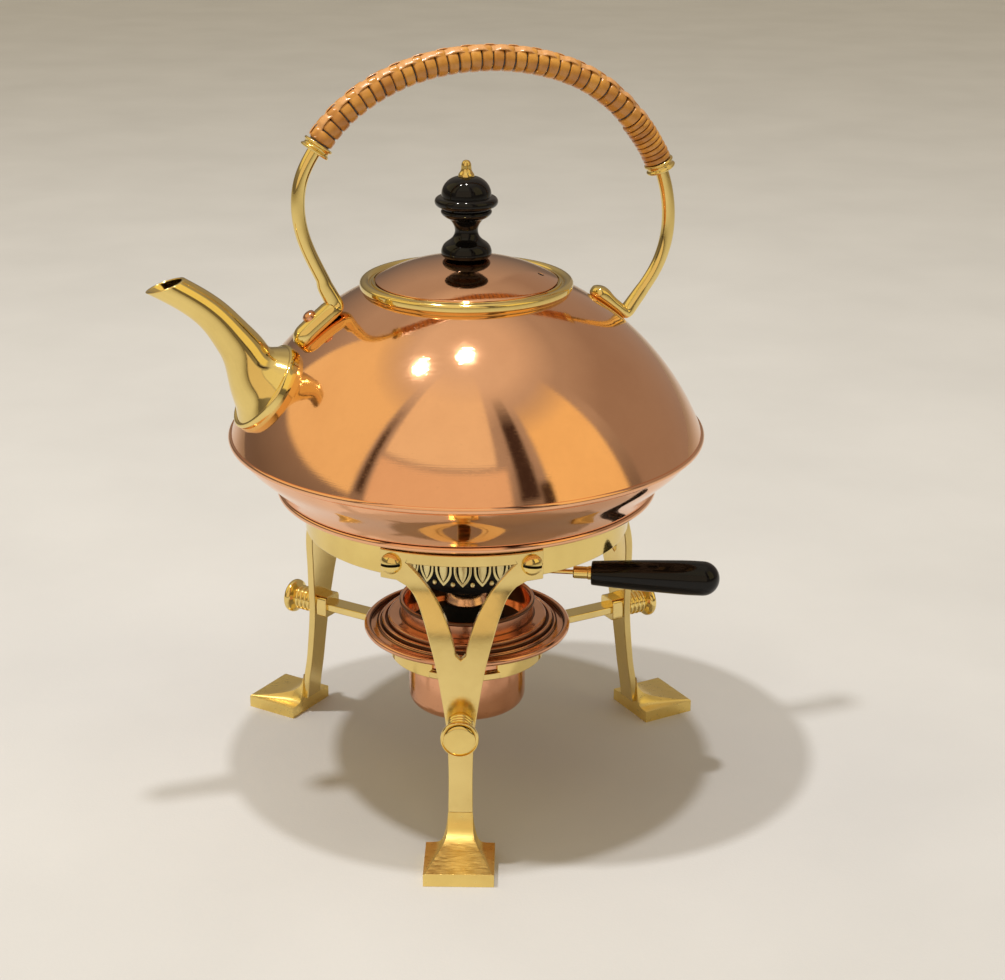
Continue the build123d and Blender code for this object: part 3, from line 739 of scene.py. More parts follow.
# ---------------------------------------------------------------- repeated pieces
class Repeater:
    """Sets one small piece on many points, turned to face its own way at each."""

    def __init__(self) -> None:
        """Builds the node tree once."""
        self.tree = bpy.data.node_groups.new("set on points", "GeometryNodeTree")
        self.tree.is_modifier = True
        face = self.tree.interface
        given = {name: face.new_socket(name, in_out="INPUT", socket_type="NodeSocket" + kind)
                 for name, kind in (("Points", "Geometry"), ("Piece", "Object"), ("Finish", "Material"),
                                    ("Size Spread", "Float"), ("Tilt Spread", "Float"), ("Seed", "Int"))}
        face.new_socket("Pieces", in_out="OUTPUT", socket_type="NodeSocketGeometry")
        self.inputs = {name: socket.identifier for name, socket in given.items()}
        self._wire(Graph(self.tree))

    def _wire(self, g: Graph) -> None:
        """Joins the nodes: points in, turned copies out."""
        given = g.node("NodeGroupInput").outputs
        turn = g.node("FunctionNodeAlignRotationToVector", axis="Z")
        level = g.node("FunctionNodeAlignRotationToVector", axis="X", pivot_axis="Z")
        for name, aligned in (("facing", turn), ("side", level)):
            layer = g.node("GeometryNodeInputNamedAttribute", data_type="FLOAT_VECTOR")
            layer.inputs["Name"].default_value = name
            g.join(layer.outputs["Attribute"], aligned.inputs["Vector"])
        g.join(turn.outputs[0], level.inputs["Rotation"])
        angles = g.node("ShaderNodeCombineXYZ")
        for axis, salt in ((0, 0), (1, 7)):
            g.join(self._random(g, given["Tilt Spread"], given["Seed"], salt), angles.inputs[axis])
        wobble = g.node("FunctionNodeRotateRotation", rotation_space="LOCAL")
        g.join(level.outputs[0], wobble.inputs["Rotation"])
        g.join(angles.outputs[0], wobble.inputs["Rotate By"])
        size = g.math("ADD", 1.0, self._random(g, given["Size Spread"], given["Seed"], 3))
        info = g.node("GeometryNodeObjectInfo", transform_space="ORIGINAL")
        g.join(given["Piece"], info.inputs["Object"])
        copies = g.node("GeometryNodeInstanceOnPoints")
        for source, name in ((given["Points"], "Points"), (info.outputs["Geometry"], "Instance"),
                             (wobble.outputs[0], "Rotation"), (size, "Scale")):
            g.join(source, copies.inputs[name])
        shade = g.node("GeometryNodeStoreNamedAttribute", data_type="FLOAT", domain="INSTANCE")
        shade.inputs["Name"].default_value = "tone"
        g.join(copies.outputs[0], shade.inputs["Geometry"])
        tone = g.node("FunctionNodeRandomValue", data_type="FLOAT")
        g.join(given["Seed"], tone.inputs["Seed"])
        g.join(tone.outputs[1], shade.inputs["Value"])
        solid = g.node("GeometryNodeRealizeInstances")
        g.join(shade.outputs[0], solid.inputs[0])
        paint = g.node("GeometryNodeSetMaterial")
        g.join(solid.outputs[0], paint.inputs["Geometry"])
        g.join(given["Finish"], paint.inputs["Material"])
        g.join(paint.outputs[0], g.node("NodeGroupOutput").inputs[0])

    @staticmethod
    def _random(g: Graph, most: bpy.types.NodeSocket, seed: bpy.types.NodeSocket,
                salt: int) -> bpy.types.NodeSocket:
        """A random amount between minus and plus the most."""
        made = g.node("FunctionNodeRandomValue", data_type="FLOAT")
        g.join(g.math("MULTIPLY", most, -1.0), made.inputs[2])
        g.join(most, made.inputs[3])
        g.join(g.math("ADD", seed, salt), made.inputs["Seed"])
        return made.outputs[1]

    def run(self, name: str, piece: bpy.types.Object, spots: list, finish: Finish,
            spread: float = 0.0, tilt: float = 0.0, seed: int = 1) -> bpy.types.Object:
        """Makes the copies as one plain mesh.

        Args:
            name: Name of the result.
            piece: The small piece, drawn in metres about its own origin. It is used up.
            spots: (place, facing, side) for each copy, as vectors in the frame.
            finish: Finish of the copies.
            spread: Most that a copy's size differs, as a share.
            tilt: Most that a copy is tilted, in radians.
            seed: Seed of the differences.

        Returns:
            The finished object.
        """
        data = bpy.data.meshes.new(name + " points")
        data.from_pydata([spot[0] for spot in spots], [], [])
        for index, label in ((1, "facing"), (2, "side")):
            layer = data.attributes.new(label, "FLOAT_VECTOR", "POINT")
            layer.data.foreach_set("vector", [c for spot in spots for c in spot[index]])
        carrier = bpy.data.objects.new(name + " points", data)
        bpy.context.scene.collection.objects.link(carrier)
        step = carrier.modifiers.new("set", "NODES")
        step.node_group = self.tree
        for label, value in (("Piece", piece), ("Finish", finish.material), ("Size Spread", spread),
                             ("Tilt Spread", tilt), ("Seed", seed)):
            step[self.inputs[label]] = value
        ready = carrier.evaluated_get(bpy.context.evaluated_depsgraph_get())
        mesh = bpy.data.meshes.new_from_object(ready)
        mesh.name = name
        made = bpy.data.objects.new(name, mesh)
        bpy.context.scene.collection.objects.link(made)
        for used in (carrier, piece):
            bpy.data.objects.remove(used)
        return made


@dataclass
class Assembly:
    """What every sub-assembly shares.

    Attributes:
        finishes: The finishes.
        repeater: Sets repeated pieces.
    """

    finishes: FinishSet
    repeater: Repeater

    def dress(self, piece: bpy.types.Object, finish: Finish, body: str, *nodes: str) -> None:
        """Gives a piece its finish and hands it to its body.

        Args:
            piece: The finished object.
            finish: Its finish.
            body: The body that it rides on.
            nodes: The CAD nodes that it stands for.
        """
        if not piece.data.materials:
            piece.data.materials.append(finish.material)
        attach(piece, body)
        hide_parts(*nodes)
        log.info("%s rides on %s with %d faces", piece.name, body, len(piece.data.polygons))

    def turn(self, name: str, outline: list, finish: Finish, body: str, *nodes: str,
             matrix: Matrix | None = None, segments: int = 160, edge: float = 0.0) -> bpy.types.Object:
        """Makes one turned piece and dresses it.

        Args:
            name: Name of the piece.
            outline: Closed outline of (radius, height) points.
            finish: Its finish.
            body: The body that it rides on.
            nodes: The CAD nodes that it stands for.
            matrix: Placing, or None for upright on the kettle's axis.
            segments: Facets round the axis.
            edge: Width of eased edges in millimetres.

        Returns:
            The object.
        """
        piece = turned(outline, segments).mesh(name, upright() if matrix is None else matrix)
        soften(piece, edge)
        self.dress(piece, finish, body, *nodes)
        return piece


# ---------------------------------------------------------------- kettle
@dataclass
class KettleBody(Assembly):
    """Copper body with its brass collar.

    Attributes:
        wall: Thickness of the sheet.
        collar_end: Where the shoulder meets the collar, (radius, height).
        collar_pull: Pull of the shoulder's curve at the collar.
        rim_pull: Pull of the shoulder's curve at the rim.
        rim_end: Where the shoulder's curve meets the rolled rim.
        rim_bead: Centre of the rolled rim.
        rim_bead_r: Radius of the rolled rim's section.
        lower: Outline of the lower body, from the seam down to the foot bead.
        foot_bead: Centre of the bead round the foot.
        foot_bead_r: Radius of that bead's section.
        seat_z: Height of the ring that rests on the hoop.
        spigot_r: Radius of the spigot that drops inside the hoop.
        bottom_z: Height of the kettle's underside.
    """

    wall: float = 1.2
    collar_end: Point = (34.5, 184.3)
    collar_pull: Point = (58.07, 173.38)
    rim_pull: Point = (75.47, 154.08)
    rim_end: Point = (84.3, 132.6)
    rim_bead: Point = (83.95, 131.6)
    rim_bead_r: float = 1.4
    lower: tuple = ((83.3, 129.6), (80.4, 125.7), (76.4, 121.8), (72.6, 118.2), (69.8, 114.9), (68.4, 112.7))
    foot_bead: Point = (67.5, 111.3)
    foot_bead_r: float = 1.25
    seat_z: float = 107.3
    spigot_r: float = 55.9
    bottom_z: float = 103.4

    def shoulder_line(self, steps: int = 60) -> list:
        """The shoulder's outer line from the collar to the rim."""
        return pulled_curve(self.collar_end, self.collar_pull, self.rim_pull, self.rim_end, steps)

    def inset(self, line: list, depth: float) -> list:
        """The same line, a depth inside the metal."""
        p = np.array(line, float)
        heading = np.gradient(p, axis=0)
        heading /= np.linalg.norm(heading, axis=1)[:, None]
        return [tuple(q) for q in p + depth * np.stack([heading[:, 1], -heading[:, 0]], axis=1)]

    def height_at(self, radius: float) -> float:
        """Height of the shoulder's outside at a radius."""
        line = self.shoulder_line(120)
        return float(np.interp(radius, [r for r, _ in line], [z for _, z in line]))

    def build(self) -> None:
        """Makes the shoulder, lower body, bottom and collar."""
        outer = self.shoulder_line()
        bead = arc(self.rim_bead, self.rim_bead_r, 48, -100, 12)
        inner = self.inset(outer, self.wall)[::-1]
        self.turn("copper_shoulder", outer + bead + [(82.9, 130.2), (82.6, 131.4)] + inner,
                  self.finishes.copper, "kettle", "kettle_shoulder", segments=288)
        lower = smooth_line(list(self.lower), 8)
        self.turn("copper_lower_body", [(83.0, 130.0)] + lower + self.inset(lower, self.wall)[::-1]
                  + [(81.8, 129.6)], self.finishes.copper, "kettle", "kettle_lower", segments=288)
        foot = arc(self.foot_bead, self.foot_bead_r, 100, -80, 12)
        pan = eased([(63.0, 108.6, 1.5), (60.8, self.seat_z, 1.0), (self.spigot_r, self.seat_z, 0.4),
                     (self.spigot_r, self.bottom_z, 1.2), (0.0, self.bottom_z),
                     (0.0, self.bottom_z + self.wall), (self.spigot_r - 1.4, self.bottom_z + self.wall),
                     (self.spigot_r - 1.2, self.seat_z + self.wall), (60.4, self.seat_z + self.wall),
                     (62.6, 109.8), (66.4, 112.0)])
        self.turn("copper_bottom", foot + [(67.2, 110.2)] + pan, self.finishes.copper, "kettle",
                  "kettle_bottom", segments=224)
        self._collar()

    def _collar(self) -> None:
        """Fat outer round, a groove, a thin inner ring and the lid's ledge."""
        body = arc((35.75, 185.2), 1.85, 158, 20, 14) + arc((35.3, 184.9), 2.2, 10, -82, 8)
        outline = (
            [(31.3, 179.0), (31.3, 185.1), (31.5, 185.2), (32.5, 185.2), (32.55, 186.2), (32.65, 186.5),
             (32.85, 186.6), (33.1, 186.6), (33.3, 186.45), (33.4, 186.1), (33.5, 185.95), (33.8, 185.95)]
            + body + [(34.9, 182.4), (32.6, 182.4), (32.5, 179.0)]
        )
        self.turn("brass_collar", outline, self.finishes.brass, "kettle", "kettle_collar", segments=224)


@dataclass
class Spout(Assembly):
    """Cast spout with a round flange on the shoulder.

    Attributes:
        shell: The kettle body that it sits on.
        stations: (centre, radius, rise in degrees) of the tube, from the flange to past the mouth.
        mouth_low: Lower lip, in the kettle's upright plane.
        mouth_high: Upper lip.
        wall: Thickness of the casting.
        seat: Middle of the flange.
        seat_rise: Rise of the flange's axis in degrees.
        flange_r: Radius of the flange.
    """

    shell: KettleBody
    stations: tuple = (((-73.6, 154.8), 15.6, 37.4), ((-74.9, 156.6), 13.6, 37.6),
                       ((-77.3, 159.5), 11.0, 41.0), ((-80.0, 167.0), 8.0, 56.0),
                       ((-84.2, 173.7), 6.75, 53.0), ((-89.6, 180.6), 5.9, 45.0),
                       ((-98.6, 188.1), 5.3, 35.0), ((-110.0, 195.2), 5.2, 31.0))
    mouth_low: Point = (-111.4, 190.7)
    mouth_high: Point = (-99.0, 194.5)
    wall: float = 0.9
    seat: Point = (-72.6, 153.6)
    seat_rise: float = 37.4
    flange_r: float = 16.6

    def _tube_point(self, line: list, along: float, turn: float, inset: float) -> np.ndarray:
        """A point of the tube's wall, by the share of its length and the angle round it."""
        at = along * (len(line) - 1)
        i = min(int(at), len(line) - 2)
        x, z, r, rise = (1 - at + i) * np.array(line[i]) + (at - i) * np.array(line[i + 1])
        a = math.radians(rise)
        up = np.array([math.sin(a), 0.0, math.cos(a)])
        return (np.array([x, 0.0, z]) + (r - inset) * (math.cos(turn) * up
                + math.sin(turn) * np.array([0.0, 1.0, 0.0])))

    def _wall_line(self, line: list, turn: float, inset: float, steps: int) -> list:
        """Points up the wall at one angle, as far as the slanting mouth."""
        low, high = np.array(self.mouth_low), np.array(self.mouth_high)
        lean = (high - low) / np.linalg.norm(high - low)
        out = np.array([-lean[1], 0.0, lean[0]])
        start = np.array([low[0], 0.0, low[1]])
        first, last = 0.3, 1.0
        for _ in range(30):
            middle = (first + last) / 2
            beyond = np.dot(self._tube_point(line, middle, turn, inset) - start, out) > 0
            first, last = (first, middle) if beyond else (middle, last)
        return [tuple(self._tube_point(line, first * k / steps, turn, inset)) for k in range(steps + 1)]

    def build(self) -> None:
        """Makes the tube and flange as one casting."""
        line = smooth_line([(c[0], c[1], r, rise / 10) for c, r, rise in self.stations], 16)
        line = [(x, z, r, rise * 10) for x, z, r, rise in line]
        turns = [2 * math.pi * k / 72 for k in range(72)]
        outer = [self._wall_line(line, t, 0.0, 70) for t in turns]
        inner = [self._wall_line(line, t, self.wall, 70)[::-1] for t in turns]
        shape = Shape()
        shape.grid([a + b for a, b in zip(outer, inner)], loop=True, wrap=True)
        self._flange(shape)
        piece = shape.mesh("brass_spout", upright(KETTLE_TURN), Corner.SOFT)
        soften(piece, 0.25, 2, 55.0)
        self.dress(piece, self.finishes.brass, "kettle", "spout")

    def _flange(self, shape: Shape) -> None:
        """Adds the round flange, its edge let down on to the shoulder."""
        a = math.radians(self.seat_rise)
        out = np.array([-math.cos(a), 0.0, math.sin(a)])
        up = np.array([math.sin(a), 0.0, math.cos(a)])
        side = np.array([0.0, 1.0, 0.0])
        middle = np.array([self.seat[0], 0.0, self.seat[1]])
        r = self.flange_r
        top = [(r, 1.0), (r - 0.1, 1.6), (r - 0.45, 2.05), (r - 1.0, 2.2), (r - 1.5, 2.0), (r - 1.75, 1.6),
               (r - 2.0, 1.5), (12.2, 1.5), (11.0, 2.0)]
        rows = []
        for k in range(96):
            t = 2 * math.pi * k / 96
            spoke = math.cos(t) * up + math.sin(t) * side
            edge = middle + r * spoke
            depth = 0.0
            while depth < 6.0:
                p = edge - depth * out
                if p[2] < self.shell.height_at(math.hypot(p[0], p[1])):
                    break
                depth += 0.1
            lip = [(r, -depth - 0.3)] + top + [(10.5, 2.0), (10.5, -depth + 0.1)]
            rows.append([tuple(middle + d * spoke + h * out) for d, h in lip])
        shape.grid(rows, loop=True, wrap=True)


@dataclass
class BailHandle(Assembly):
    """Round brass handle with flattened feet, wrapped in cane.

    Attributes:
        line: Centre line of the bar in the kettle's upright plane, from the spout side.
        spout_foot: Centre line of the foot on the spout side, from its end to the heel.
        far_foot: Centre line of the other foot, from the heel to its end.
        spout_heel: Two pulls and the end of the bend out of the spout-side foot.
        far_heel: Start and two pulls of the bend into the other foot.
        bar_r: Radius of the bar.
        foot_half: Half thickness and half width of a foot.
        spout_drop: Depth of the spout-side foot below its centre line.
        far_drop: Depth of the other foot below its centre line.
        far_rise: Height of the other foot above its centre line, and of the hump on it.
        rivet_at: Place of the rivet.
        rivet_lean: Lean of the rivet towards the spout, in degrees.
        rivet_r: Radius of the rivet's head.
        wrapped: First and last of the line's points under the cane.
        wrap_length: Length of the cane's stretch.
        wrap_stops: Shares of that length where the coils start, where the binding starts and where
            it ends.
        coils: Turns of cane under the strands.
        binding: Narrow turns that cover the strands' ends on the far side.
        coil_r: Outer radius of the coils.
        binding_r: Outer radius of the binding.
        gap_shade_r: Radius of the dark tube under the coils, painted shade in their gaps.
        strand_r: Distance of the strands from the bar's centre line.
        lane: Angle of each strand from the top, in degrees.
        washer_r: Radius of the washers at the ends of the cane.
    """

    line: tuple = ((-50.6, 188.2), (-54.6, 196.6), (-57.9, 205.0), (-59.5, 214.0), (-58.2, 225.0),
                   (-52.6, 235.4), (-45.3, 244.0), (-33.8, 252.6), (-16.0, 259.8), (7.8, 262.4),
                   (32.0, 258.6), (48.6, 251.0), (61.0, 240.0), (72.4, 222.6), (76.2, 208.5),
                   (75.8, 195.5), (71.7, 184.4), (66.3, 176.6))
    spout_foot: tuple = ((-61.0, 167.6), (-55.0, 172.9), (-50.2, 176.8))
    far_foot: tuple = ((56.6, 172.6), (51.6, 176.4), (47.6, 179.2))
    spout_heel: tuple = ((-46.0, 180.3), (-45.7, 180.4), (-47.7, 183.4))
    far_heel: tuple = ((63.2, 172.6), (60.4, 168.9), (60.6, 169.0))
    bar_r: float = 2.35
    foot_half: Point = (1.5, 4.0)
    spout_drop: float = 4.8
    far_drop: float = 2.325
    far_rise: Point = (2.2, 1.1)
    rivet_at: tuple = (-55.3, 0.0, 176.0)
    rivet_lean: float = -40.0
    rivet_r: float = 2.4
    wrapped: tuple = (5, 13)
    wrap_length: float = 150.0
    wrap_stops: tuple = (0.013, 0.868, 0.987)
    coils: int = 32
    binding: int = 9
    coil_r: float = 4.33
    binding_r: float = 4.85
    gap_shade_r: float = 3.7
    strand_r: float = 4.30
    lane: float = 25.0
    washer_r: float = 5.45

    @staticmethod
    def _near(past: int, bend: int) -> float:
        """Share of a foot's section: one on the foot, nought a little past its bend."""
        return 1.0 - min(1.0, max(0.0, past / (bend + 4)))

    def _section(self, ahead: float, behind: float, from_start: int, from_end: int) -> list:
        """One section of the rod, as a ring of offsets.

        Args:
            ahead: Share of the spout-side foot's section.
            behind: Share of the other foot's section.
            from_start: Steps from the spout-side end.
            from_end: Steps from the other end.

        Returns:
            The ring.
        """
        thin, wide = self.foot_half
        blend = max(ahead, behind)
        blend = blend * blend * (3 - 2 * blend)
        tip = min(from_start, from_end)
        close = math.sqrt(max(0.0, 1 - (1 - min(1.0, (tip + 0.15) / 5)) ** 2))
        half_up = self.bar_r * (1 - blend) + thin * blend
        across = self.bar_r * (1 - blend) + wide * blend
        crest, hump = self.far_rise
        rise = crest + hump * math.exp(-(((from_end - 7.0) / 4.5) ** 2))
        low = 1 + ahead * (self.spout_drop / thin - 1) + behind * (self.far_drop / thin - 1)
        high = 1 + behind * (rise / thin - 1)
        ring = ellipse_ring(half_up * (0.30 + 0.70 * close), across * close, 28, 2 + 0.6 * blend)
        return [(u * (low if u < 0 else high), v) for u, v in ring]

    def _bar(self) -> None:
        """Bar and feet, drawn as one rod that flattens into its feet."""
        rise = smooth_line(list(self.line), 10)
        left = smooth_line(list(self.spout_foot), 8)
        right = smooth_line(list(self.far_foot), 8)
        turn_left = pulled_curve(left[-1], *self.spout_heel, 10)
        turn_right = pulled_curve(*self.far_heel, right[0], 10)
        lead_in = smooth_line([turn_left[-1], rise[0]], 3)[1:-1]
        lead_out = smooth_line([rise[-1], turn_right[0]], 3)[1:-1]
        path = left + turn_left[1:] + lead_in + rise + lead_out + turn_right + right[1:]
        last = len(path) - 1
        rings = [self._section(self._near(i - len(left), len(turn_left)),
                               self._near(last - i - len(right), len(turn_right)), i, last - i)
                 for i in range(last + 1)]
        shape = swept([(x, 0.0, z) for x, z in path], rings, (0.0, 1.0, 0.0))
        piece = shape.mesh("brass_bail", upright(KETTLE_TURN), Corner.SOFT)
        soften(piece, 0.0)
        self.dress(piece, self.finishes.brass, "kettle", "bail_bar")

    def _rivet(self) -> None:
        """Copper rivet head on the spout-side foot."""
        tilt = Matrix.Translation(self.rivet_at) @ Matrix.Rotation(math.radians(self.rivet_lean), 4, "Y")
        outline = [(0.0, 0.2), (self.rivet_r, 0.2)] + domed_head(self.rivet_r, 2.7, 1.3, 9)
        self.turn("copper_rivet", outline, self.finishes.warm_copper, "kettle", "bail_rivet",
                  matrix=upright(KETTLE_TURN) @ tilt, segments=40)

    def _frames(self, stops: list | tuple) -> list:
        """(place, heading) pairs at shares of the wrapped stretch."""
        dense = np.array(smooth_line(list(self.line), 24))
        dense = dense[self.wrapped[0] * 24 : self.wrapped[1] * 24 + 1]
        length = np.concatenate([[0], np.cumsum(np.linalg.norm(np.diff(dense, axis=0), axis=1))])
        at = np.array(stops) * length[-1]
        x, z = (np.interp(at, length, dense[:, k]) for k in (0, 1))
        heading = np.gradient(dense, axis=0)
        hx, hz = (np.interp(at, length, heading[:, k]) for k in (0, 1))
        return [(Vector((a, 0, b)), Vector((c, 0, d)).normalized()) for a, b, c, d in zip(x, z, hx, hz)]

    def _washers(self) -> None:
        """Turned washers at both ends of the cane."""
        outline = eased([(2.4, -1.7, 0.2), (5.1, -1.7, 0.3), (self.washer_r, -1.05, 0.4), (4.6, -0.3, 0.4),
                         (4.6, 0.3, 0.4), (self.washer_r, 1.05, 0.4), (5.1, 1.7, 0.3), (2.4, 1.7, 0.2)], 5)
        ends = self._frames((0.0, 1.0))
        shape = Shape()
        for place, heading in ends:
            lie = Matrix.Translation(place) @ heading.to_track_quat("Z", "Y").to_matrix().to_4x4()
            ring = turned(outline, 64)
            shape.add([tuple(lie @ Vector(p)) for p in ring.points], ring.faces)
        piece = shape.mesh("brass_washers", upright(KETTLE_TURN))
        soften(piece, 0.0)
        self.dress(piece, self.finishes.brass, "kettle", "bail_collars")

    def _coil(self, half: float, base: float, over: float | None) -> Shape:
        """One flat turn of cane, its axis along Z and the kettle's top along Y.

        Args:
            half: Half its width at the top.
            base: Its outer radius.
            over: Angle of the strand that it passes over, or None.

        Returns:
            The coil.
        """
        steps = 56
        rows = []
        for k in range(steps):
            t = 2 * math.pi * k / steps
            r = base
            if over is not None:
                away = math.degrees((t - math.radians(over) + math.pi) % (2 * math.pi) - math.pi)
                r += 0.52 * math.exp(-((away / 17.0) ** 4))
            w = half * (0.93 + 0.07 * math.sin(t))
            section = ((3.2, -w), (r - 0.55, -w), (r - 0.12, -w * 0.86), (r, -w * 0.45), (r, w * 0.45),
                       (r - 0.12, w * 0.86), (r - 0.55, w), (3.2, w))
            rows.append([(q * math.cos(t), q * math.sin(t), h) for q, h in section])
        shape = Shape()
        shape.grid(rows, loop=True, wrap=True)
        return shape

    def _strand(self, side: float, first: float, last: float) -> Shape:
        """A flat strand woven over and under the coils along the top.

        Args:
            side: Which side of the top it runs on, -1 or 1.
            first: Share of the wrapped stretch at which it starts.
            last: Share at which it ends.

        Returns:
            The strand.
        """
        steps = 10
        count = self.coils * steps
        path = self._frames([first + (last - first) * i / count for i in range(count + 1)])
        rings = []
        for i, (place, heading) in enumerate(path):
            wave = math.sin(math.pi * i / steps) * side
            lift = self.strand_r + 0.30 * math.copysign(min(1.0, abs(wave) * 1.6), wave)
            up = heading.cross(Vector((0, 1, 0)))
            turn = math.radians(self.lane) * side
            out = up * math.cos(turn) + Vector((0, 1, 0)) * math.sin(turn)
            cross = heading.cross(out)
            rings.append([tuple(place + out * (lift + u - 0.055 * v * v) + cross * v)
                          for u, v in ellipse_ring(0.30, 1.65, 16, 3.2)])
        shape = Shape()
        shape.rod(rings)
        return shape

    def _cane(self) -> None:
        """Coils, binding at one end, two woven strands on top and a dark tube painting shade in the gaps."""
        turn = upright(KETTLE_TURN)
        spin = turn.to_quaternion()
        first, bound, last = self.wrap_stops
        pitch = self.wrap_length * (bound - first) / self.coils

        def spots(shares: list) -> list:
            """Place, heading and side of a coil at each share of the stretch."""
            return [(turn @ place, spin @ heading, spin @ Vector((0, 1, 0)))
                    for place, heading in self._frames(shares)]

        for parity, name in enumerate(("cane_coils_odd", "cane_coils_even")):
            over = 90.0 + self.lane * (-1 if parity else 1)
            stops = [first + (bound - first) * (k + 0.5) / self.coils for k in range(parity, self.coils, 2)]
            coil = self._coil(pitch * 0.475, self.coil_r, over)
            piece = coil.mesh("coil", Matrix.Scale(MM, 4), Corner.SOFT)
            made = self.repeater.run(name, piece, spots(stops), self.finishes.cane, 0.012, 0.03, 5 + parity)
            self.dress(made, self.finishes.cane, "kettle", "bail_wrap")
        stops = [bound + (last - bound) * (k + 0.5) / self.binding for k in range(self.binding)]
        narrow = self.wrap_length * (last - bound) / self.binding
        piece = self._coil(narrow * 0.46, self.binding_r, None).mesh("coil", Matrix.Scale(MM, 4), Corner.SOFT)
        made = self.repeater.run("cane_binding", piece, spots(stops), self.finishes.cane, 0.01, 0.02, 9)
        self.dress(made, self.finishes.cane, "kettle", "bail_wrap")
        # Dark tube under the coils, painted shade in the gaps between them.
        gap_path = self._frames([0.01 + 0.98 * k / 120 for k in range(121)])
        circle = ellipse_ring(self.gap_shade_r, self.gap_shade_r, 32)
        gap_shade = swept([tuple(place) for place, _ in gap_path], [circle] * len(gap_path), (0.0, 1.0, 0.0))
        pieces = [("cane_lining", gap_shade, 2.0)]
        pieces += [(f"cane_strand_{name}", self._strand(side, first + 0.004, bound + 0.02), -1.0)
                   for name, side in (("front", -1.0), ("back", 1.0))]
        for name, shape, level in pieces:
            piece = shape.mesh(name, turn, Corner.SOFT)
            tone = piece.data.attributes.new("tone", "FLOAT", "POINT")
            tone.data.foreach_set("value", [level] * len(piece.data.vertices))
            self.dress(piece, self.finishes.cane, "kettle", "bail_wrap")

    def build(self) -> None:
        """Makes the bar, rivet, washers and cane."""
        self._bar()
        self._rivet()
        self._washers()
        self._cane()


